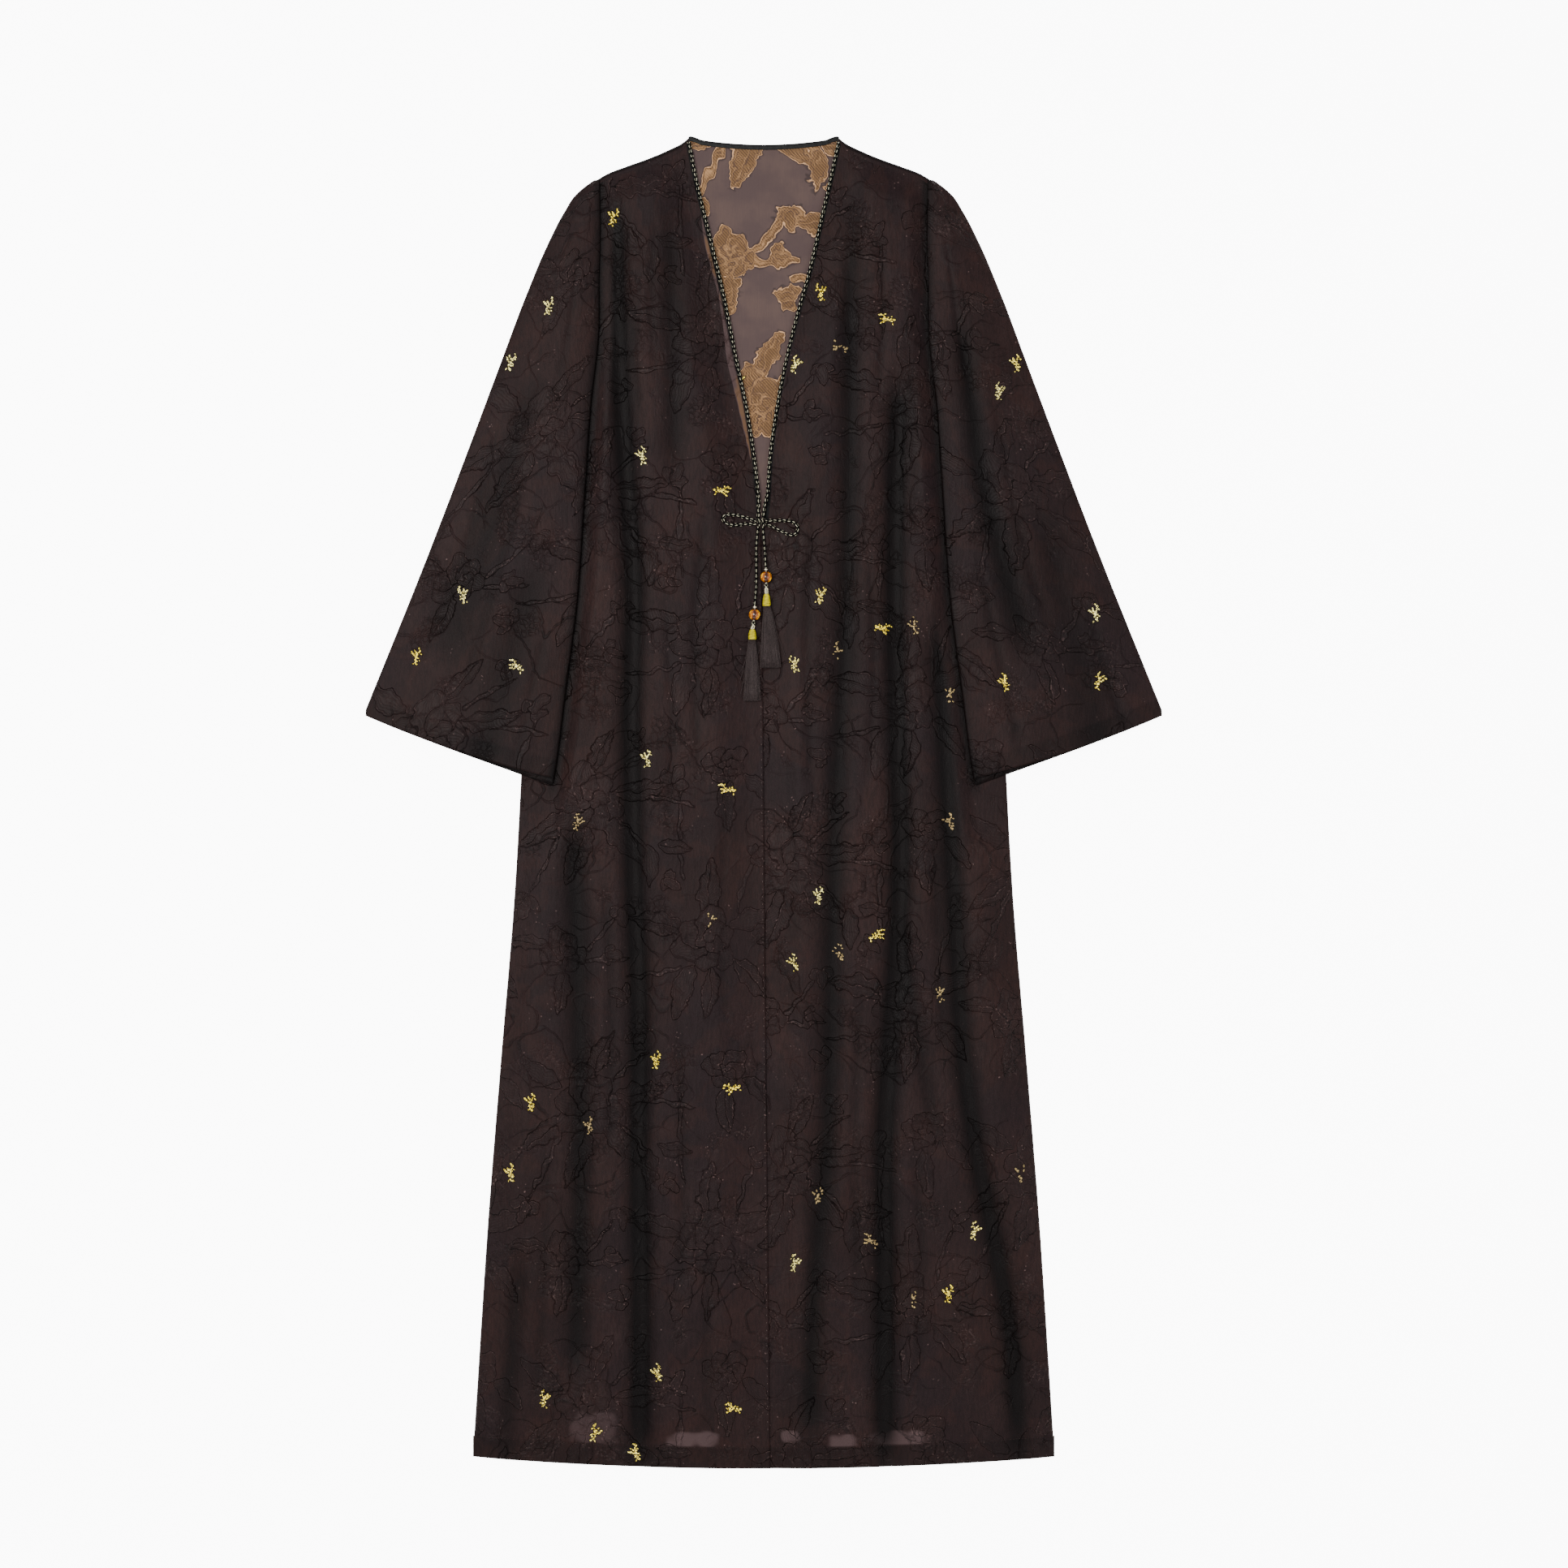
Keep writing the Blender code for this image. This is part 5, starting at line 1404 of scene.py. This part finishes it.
def laid_yarns(tubes, route, radius, pitch, yarns, size, out, number=0, spacing=0.9):
    """Yarns laid round each other along a route in millimetres."""
    core = Core(route, spacing)
    for k in range(yarns):
        path = core.beside(out * radius * MM, math.tau * (core.along / pitch + k / yarns))
        tubes.add(path, radius * size * MM, number=number)


def speckled(tubes, route, radius=CORD_RADIUS, dash=DASH_PITCH, swing=24.0, start=0.0):
    """Black cord through whose braid cream yarns rise in short dashes on three faces."""
    laid_yarns(tubes, route, radius, BODY_PITCH, BODY_YARNS, BODY_YARN, BODY_OUT)
    core = Core(route, 0.55)
    phase = math.pi * (core.along + start) / dash
    beat = 1.0 - 2.0 * np.sin(phase) ** 4
    for face in DASH_FACES:
        angle = np.radians(face + swing * np.sin(phase + math.pi / 2 + 0.45))
        path = core.beside(radius * MM * (0.64 + 0.16 * beat), angle)
        tubes.add(path, radius * 0.21 * MM * (0.7 + 0.3 * beat), number=1)


def cord_route(points):
    return [(x, drop, lying_height(x, drop, CORD_RADIUS) + CORD_RADIUS + extra)
            for x, drop, extra in points]


def add_speckled(name, node, routes, finishes, **settings):
    tubes = Tubes()
    for route in routes:
        speckled(tubes, route, **settings)
    return link(name, tubes.mesh(name), finishes, node)


def neck_cord_route(side):
    end = KNOT[1] - KNOT_SIZE[1] / 2 - SEAM
    drops = np.linspace(NECK_CORD_START, end, 60)
    edge = front_edge(side, drops)
    x = edge + (KNOT[0] + side * NECK_CORDS_APART - edge) * ramp(end - 30.0, end, drops)
    height = FRONT_LEVEL + WALL / 2 + LIE + CORD_RADIUS + LAP_RISE * ramp(330.0, 385.0, drops)
    return list(zip(x, drops, height))


def knot_routes():
    """Two turns of cord round the place where the loops and tails meet."""
    middle = lying_height(*KNOT, KNOT_SIZE[0] / 2) + KNOT_SIZE[2] / 2
    half_drop = KNOT_SIZE[1] / 2 - 1.35
    half_rise = KNOT_SIZE[2] / 2 - 0.9
    return [[(KNOT[0] + shift + lean * math.cos(a), KNOT[1] + half_drop * math.cos(a),
              middle + half_rise * math.sin(a)) for a in np.linspace(0.0, math.tau, 25)]
            for shift, lean in ((-1.9, 0.5), (2.0, 0.9))]


def lathe(tubes, stations, sides, ridge=0.0, turns=0):
    """A round form through stations of x, drop, height and radius, with closed ends."""
    turn = np.arange(sides) * math.tau / sides
    x, drop, height, radius = np.array(stations, dtype=float).T[..., None]
    phase = turns * math.tau * np.linspace(0.0, 1.0, len(x))[:, None] + turn
    wound = radius + ridge * np.sin(phase) * (radius > 1.0)

    def rings(rows, size):
        return places(x[rows] + size * np.cos(turn), drop[rows] + 0.0 * size * turn,
                      height[rows] + size * np.sin(turn))

    tubes.add_grid(np.concatenate([rings([0], 0.02), rings(slice(None), wound),
                                   rings([-1], 0.02)]), closed=True, flip=True)


def ball(x, drop, height, radius, half_length, rings=22, bore=0.12):
    turns = np.linspace(bore, math.pi - bore, rings)
    return [(x, drop - half_length * math.cos(a), height, radius * math.sin(a)) for a in turns]


def add_tassel(name, sizes, cap_height, ground, finish, seed, strays):
    """A skein of fine threads that opens out from under the cap."""
    random = np.random.default_rng(seed)
    x, top, end, half, lean = sizes
    share = np.linspace(0.0, 1.0, 8)
    bulge = np.sin(math.pi * share)
    tubes = Tubes()
    for number in range(TASSEL_THREADS + strays):
        stray = number >= TASSEL_THREADS
        turn, out = random.uniform(0.0, math.tau), math.sqrt(random.uniform(0.0, 1.0))
        root = (x + 3.6 * out * math.cos(turn), cap_height + 3.0 * out * math.sin(turn))
        across = 0.72 * out * math.cos(turn) + 0.28 * random.uniform(-1.0, 1.0)
        tip_x = x + lean + half * across
        tip_z = ground + 0.4 + TASSEL_END_HEIGHT * (1.0 + 0.85 * out * math.sin(turn))
        tip = end - abs(random.normal(0.0, 0.9))
        if stray:
            side = -1.0 if random.uniform() < 0.7 else 1.0
            tip_x = x + lean + side * half * random.uniform(1.05, 1.4)
            tip = top + (end - top) * random.uniform(0.45, 0.95)
            tip_z = ground + 0.9
        bow = random.normal(0.0, 0.55, 2)
        spread = share ** (1.3 if stray else 0.85)
        centre_x = root[0] + (tip_x - root[0]) * spread + bow[0] * bulge
        centre_z = root[1] + (tip_z - root[1]) * spread + 0.5 * bow[1] * bulge
        path = places(centre_x, top - 0.8 + (tip - top + 0.8) * share,
                      np.maximum(centre_z, ground + 0.5))
        tubes.add(path, (STRAY_RADIUS if stray else TASSEL_THREAD_RADIUS) * MM, sides=3)
    return link(name, tubes.mesh(name), finish, name[:-len("_threads")])


def add_tail_end(side_name, looks, seed):
    """Metal bead, amber bead, knot, thread loop, wound cap and tassel of one tail."""
    sizes = TAIL_ENDS[side_name]
    metal_x, metal_drop = sizes["metal_bead"]
    amber_x, amber_drop = sizes["amber_bead"]
    knot_x, knot_drop = sizes["knot"]
    cap_x, cap_top, cap_end = sizes["cap"]
    tassel_x, tassel_top, tassel_end, tassel_half, lean = sizes["tassel"]
    amber_height = lying_height(amber_x, amber_drop, 3.0) + AMBER_RADIUS
    cap_height = lying_height(cap_x, cap_end, CAP_RADIUS) + CAP_RADIUS
    knot_height = 0.5 * (amber_height + cap_height)

    forms = {part: Tubes() for part in TAIL_PIECES}
    lathe(forms["metal_bead"], ball(metal_x, metal_drop, amber_height, *METAL_BEAD_HALF), 24)
    lathe(forms["amber_bead"],
          ball(amber_x, amber_drop, amber_height, AMBER_RADIUS, AMBER_RADIUS, 30), 40)

    size = (TAIL_KNOT_RADIUS - 0.62) / 3.0
    loop = [(knot_x + size * (math.sin(a) + 2.0 * math.sin(2.0 * a)),
             knot_drop + size * (math.cos(a) - 2.0 * math.cos(2.0 * a)),
             knot_height - 2.6 * size * math.sin(3.0 * a)) for a in np.linspace(0.0, math.tau, 61)]
    for yarns, thick, out, number in ((2, 0.5, 0.5, 0), (1, 0.42, 0.62, 1)):
        laid_yarns(forms["tail_knot"], loop, KNOT_CORD_RADIUS, 3.4, yarns, thick, out, number, 0.5)

    start = knot_drop + TAIL_KNOT_RADIUS + THREAD_RADIUS + SEAM
    middle_drop, middle_x = 0.5 * (start + cap_top - SEAM), 0.5 * (knot_x + cap_x)
    middle_height = 0.5 * (knot_height + cap_height)
    half_loop = [(cap_x, THREAD_SPREAD, cap_top - SEAM, cap_height),
                 (middle_x, THREAD_SPREAD, middle_drop, middle_height),
                 (knot_x, 0.6 * THREAD_SPREAD, start + 0.4, knot_height)]
    route = ([(x - out, drop, height) for x, out, drop, height in half_loop]
             + [(knot_x, start, knot_height)]
             + [(x + out, drop, height) for x, out, drop, height in half_loop[::-1]])
    laid_yarns(forms["tassel_loop"], route, THREAD_RADIUS, 1.8, 2, 0.55, 0.5, spacing=0.25)

    stations = [(cap_x, cap_top + (cap_end - cap_top) * share, cap_height,
                 float(smooth(CAP_SHAPE, share))) for share in np.linspace(0.0, 1.0, 90)]
    lathe(forms["tassel_cap"], stations, 30, ridge=0.13, turns=15)

    pieces = []
    for part, (suffix, finish, slot) in TAIL_PIECES.items():
        name = f"{side_name}_{part}_{suffix}"
        pieces.append(link(name, forms[part].mesh(name), looks[finish],
                           f"{side_name}_{part}"))
        if part == "amber_bead":
            middle = np.array(place(amber_x, amber_drop, amber_height))
            from_middle = (np.concatenate(forms[part].points) - middle) / (AMBER_RADIUS * MM)
            set_fields(pieces[-1].data, from_middle, ["bead"])

    ground = max(lying_height(tassel_x + lean + across, drop, 2.0)
                 for across in (-tassel_half, 0.0, tassel_half)
                 for drop in (tassel_top + 20.0, tassel_end))
    pieces.append(add_tassel(f"{side_name}_tassel_threads", sizes["tassel"], cap_height, ground,
                             looks["strands"], seed, STRAYS[side_name]))
    core = [(metal_x, metal_drop - 2.0, amber_height), (amber_x, amber_drop, amber_height),
            (knot_x, knot_drop, knot_height), (middle_x - 0.4, middle_drop, middle_height),
            (cap_x, cap_top + 1.0, cap_height), (cap_x, cap_end - 1.0, cap_height)]
    return core, pieces


def add_tie(looks):
    """The cord of the V neck, and the bow with its two tails."""
    cord = looks["cord"]
    for side, name in ((-1, "left_neck_cord"), (1, "right_neck_cord")):
        add_speckled(f"{name}_twist", name, [neck_cord_route(side)], cord, start=40.0 * side)
    add_speckled("tie_knot_turns", "tie_knot", knot_routes(), cord)
    for name, points in (("left", LEFT_LOOP), ("right", RIGHT_LOOP)):
        route = cord_route(points)
        item = add_speckled(f"{name}_bow_loop_twist", f"{name}_bow_loop", [route], cord)
        path = [tuple(point) for point in metres(resample(route, 2.0))]
    for seed, (name, points) in enumerate((("left", LEFT_TAIL), ("right", RIGHT_TAIL))):
        route = cord_route(points)
        core, pieces = add_tail_end(name, looks, TASSEL_SEED + seed)
        tubes = Tubes()
        speckled(tubes, route, radius=TAIL_RADIUS, dash=TAIL_DASH_PITCH, swing=6.0)
        laid_yarns(tubes, core, CORE_RADIUS, 3.0, 2, 0.5, 0.5, number=1, spacing=0.4)
        twist = f"{name}_tail_twist"
        item = link(twist, tubes.mesh(twist), cord, f"{name}_tail")
        path = np.concatenate([resample(route, 2.0), resample(core, 2.0)[1:]])
        path = [tuple(point) for point in metres(path)]


# Binding, sprigs and stitches

def add_binding(finish):
    end = NECK_HALF + 1.2
    x = np.linspace(-end, end, 190)
    across, up = np.array(BINDING_SECTION).T
    ripple = 0.03 * np.sin(math.tau * x / 7.3) + 0.02 * np.sin(math.tau * x / 2.9 + 1.0)
    drop = back_top(x)[:, None] + across * (1.0 + 0.02 * ripple[:, None])
    grid = places(x[:, None] + 0.0 * drop, drop, up + ripple[:, None] * (up > 1.9))
    tubes = Tubes()
    tubes.add_grid(pointed(grid, 0.03), closed=True)
    name = "back_neck_binding"
    link(f"{name}_satin", tubes.mesh(f"{name}_satin"), finish, name)


def sprig_buds(random, turned):
    """Places, headings, sizes and slimness of one sprig's buds, a little different each time."""
    lean = math.radians(random.uniform(-SPRIG_LEAN, SPRIG_LEAN) + turned)
    buds = []
    for x, drop, heading, size, slim in SPRIG_BUDS:
        x = SPRIG_SPREAD * x + random.uniform(-BUD_STRAY, BUD_STRAY)
        drop = SPRIG_SPREAD * drop + random.uniform(-BUD_STRAY, BUD_STRAY)
        buds.append((x * math.cos(lean) - drop * math.sin(lean),
                     x * math.sin(lean) + drop * math.cos(lean),
                     math.radians(heading) + lean + random.uniform(-BUD_TURN, BUD_TURN),
                     1.05 * size * random.uniform(*BUD_SIZES), 1.2 * slim))
    return buds


def add_bud(tubes, point, normal, heading, size, slim, number):
    """A padded bud of gilt thread that lies on the cloth, with a dark ring under it as a painted
    shadow round it.
    """
    along = np.array([math.cos(heading), -math.sin(heading), 0.0])
    along = along - normal * float(along @ normal)
    along = along / np.linalg.norm(along)
    turns = (np.arange(8) * math.tau / 8)[:, None]
    outline = size * (along * slim ** 0.5 * np.cos(turns)
                      + np.cross(normal, along) / slim ** 0.5 * np.sin(turns))
    for layers, finish in ((BUD_RISE, number), (BUD_SHADOW_RING, SHADOW_RING_LOOK)):
        rings = [point + (outline * reach + normal * lift) * MM for reach, lift in layers]
        tubes.add_grid(np.stack(rings), finish, closed=True, flip=True)


def add_sprigs(surfaces, finishes):
    random = np.random.default_rng(SPRIG_SEED)
    for piece, places_on in SPRIGS.items():
        tubes = Tubes()
        for pixel_x, pixel_y, strength in places_on:
            x, drop = (pixel_x - MIDDLE_PIXEL) * PIXEL, (pixel_y - TOP_PIXEL) * PIXEL
            flip = -1.0 if random.uniform() < 0.4 else 1.0
            turned = LYING_TURN if (pixel_x, pixel_y) in LYING_SPRIGS else 0.0
            for bud_x, bud_drop, heading, size, slim in sprig_buds(random, turned):
                if strength < FAINT and random.uniform() > 0.3 + strength:
                    continue
                point, normal = surfaces[piece].at(x + flip * bud_x, drop + bud_drop)
                angle = heading if flip > 0 else math.pi - heading
                add_bud(tubes, point, normal, angle, size, slim, 0 if strength > FAINT else 1)
        link(f"{piece}_sprigs", tubes.mesh(f"{piece}_sprigs"), finishes)


def add_stitches(surfaces, finishes):
    """Hem and centre front seams, one small bar of thread for each stitch."""
    for piece, side in (("left_front", -1), ("right_front", 1)):
        tubes = Tubes()
        inner = float(front_edge(side, LENGTH - HEM_TURN))
        outer = side * float(outer_edge(HEM_CORNER - HEM_TURN))
        count = int(abs(outer - inner) / STITCH_PITCH)
        for k in range(count):
            x = inner + (outer - inner) * (k + 0.3) / count
            drop = float(hem_drop(x)) - HEM_TURN
            add_stitch(tubes, surfaces[piece], [x, x + side * 0.9, x + side * 1.8],
                       [drop, drop + 0.1, drop], 0)
        link(f"{piece}_hem_stitches", tubes.mesh(f"{piece}_hem_stitches"), finishes)
    tubes = Tubes()
    for k in range(EDGE_STITCHES):
        drop = EDGE_STITCHES_START + EDGE_STITCH_PITCH * k
        x = float(front_edge(-1, drop)) - 2.0
        add_stitch(tubes, surfaces["left_front"], [x, x - 0.25, x],
                   [drop, drop + 0.7, drop + 1.4], 1)
    link("front_edge_stitches", tubes.mesh("front_edge_stitches"), finishes)


def add_stitch(tubes, surface, xs, drops, number):
    path = []
    for lift, x, drop in zip((0.0, STITCH_RISE, 0.0), xs, drops):
        point, normal = surface.at(x, drop)
        path.append(point + normal * lift * MM)
    tubes.add(np.array(path), STITCH_RADIUS * MM, sides=4, number=number)


# The stage

def add_object(name, data):
    item = bpy.data.objects.new(name, data)
    bpy.context.scene.collection.objects.link(item)
    return item


def add_stage():
    mesh = bpy.data.meshes.new("floor")
    corners = ((-1.0, -1.0), (1.0, -1.0), (1.0, 1.0), (-1.0, 1.0))
    mesh.from_pydata([(FLOOR_HALF * x, FLOOR_HALF * y, FLOOR_LEVEL) for x, y in corners], [],
                     [(0, 1, 2, 3)])
    mesh.materials.append(floor_paint())
    add_object("floor", mesh)

    camera = bpy.data.cameras.new("camera")
    camera.sensor_width = 36.0
    camera.lens = camera.sensor_width * (CAMERA_FAR - LYING_MIDDLE) / FRAME_WIDTH
    camera.clip_end = 50.0
    view = add_object("camera", camera)
    view.location = place(*FRAME_MIDDLE, CAMERA_FAR / MM)
    bpy.context.scene.camera = view

    for name, where, size, power, colour in LAMPS:
        light = bpy.data.lights.new(name, "AREA")
        light.shape = "DISK"
        light.size = size
        light.energy = power
        light.color = colour
        lamp = add_object(name, light)
        lamp.location = where
        lamp.rotation_euler = (-Vector(where)).to_track_quat("-Z", "Y").to_euler()

    world = bpy.data.worlds.new("world")
    bpy.context.scene.world = world
    world.use_nodes = True
    background = world.node_tree.nodes["Background"].inputs
    background["Color"].default_value = (0.9, 0.92, 0.95, 1.0)
    background["Strength"].default_value = 1.25


def main():
    add_stage()
    outside, inside = organza(), organza_inside()
    looks = {
        "cord": [spun("black_yarn", (1, 1, 1), (6, 6, 6), shine=0.03),
                 spun("cream_yarn", (112, 108, 90), (176, 172, 148))],
        "metal": bead_metal(),
        "amber": amber(),
        "yellow": spun("yellow_thread", (96, 86, 0), (172, 158, 0), 700.0, 2.0, (0.3, 3.0, 0.3),
                       roughness=0.42, shine=0.2, bump=(0.0002, 0.6)),
        "pale_thread": spun("pale_thread", (170, 160, 120), (216, 208, 170)),
        "strands": spun("tassel_thread", (20, 15, 15), (60, 51, 50), roughness=0.5),
    }
    add_tie(looks)

    sheets, surfaces = {}, {}
    sheets["back_cloth"], surfaces["back"] = add_back(inside)
    add_shoulder_rolls(outside)
    for name, side in (("left_front", -1), ("right_front", 1)):
        sheets[f"{name}_cloth"], surfaces[name] = add_front(f"{name}_cloth", side, outside)
    for name, side, folds in (("left_sleeve", -1, LEFT_SLEEVE_FOLDS),
                              ("right_sleeve", 1, RIGHT_SLEEVE_FOLDS)):
        sheets[f"{name}_cloth"], surfaces[name] = add_sleeve(f"{name}_cloth", side, folds,
                                                             [outside, inside])
    add_binding(spun("binding", (2, 2, 2), (8, 9, 9), 1500.0, 2.0, (0.25, 2.0, 2.0),
                     roughness=0.42, bump=(0.00015, 0.6)))
    faint_gold = spun("gold_sprig_faint", (70, 56, 34), (136, 116, 74), 700.0, 2.0,
                      (1.0, 1.0, 1.0), (0.35, 0.65), 0.5, 0.7, None, (0.0002, 0.5))
    # The third look is the dark ring under each bud, a painted shadow
    add_sprigs(surfaces, [gold(), faint_gold, spun("sprig_shadow_ring", (3, 2, 2), (10, 7, 6))])
    add_stitches(surfaces, [spun("seam_thread", (30, 20, 20), (46, 33, 32)),
                            spun("light_stitch", (60, 48, 46), (96, 82, 78))])


main()
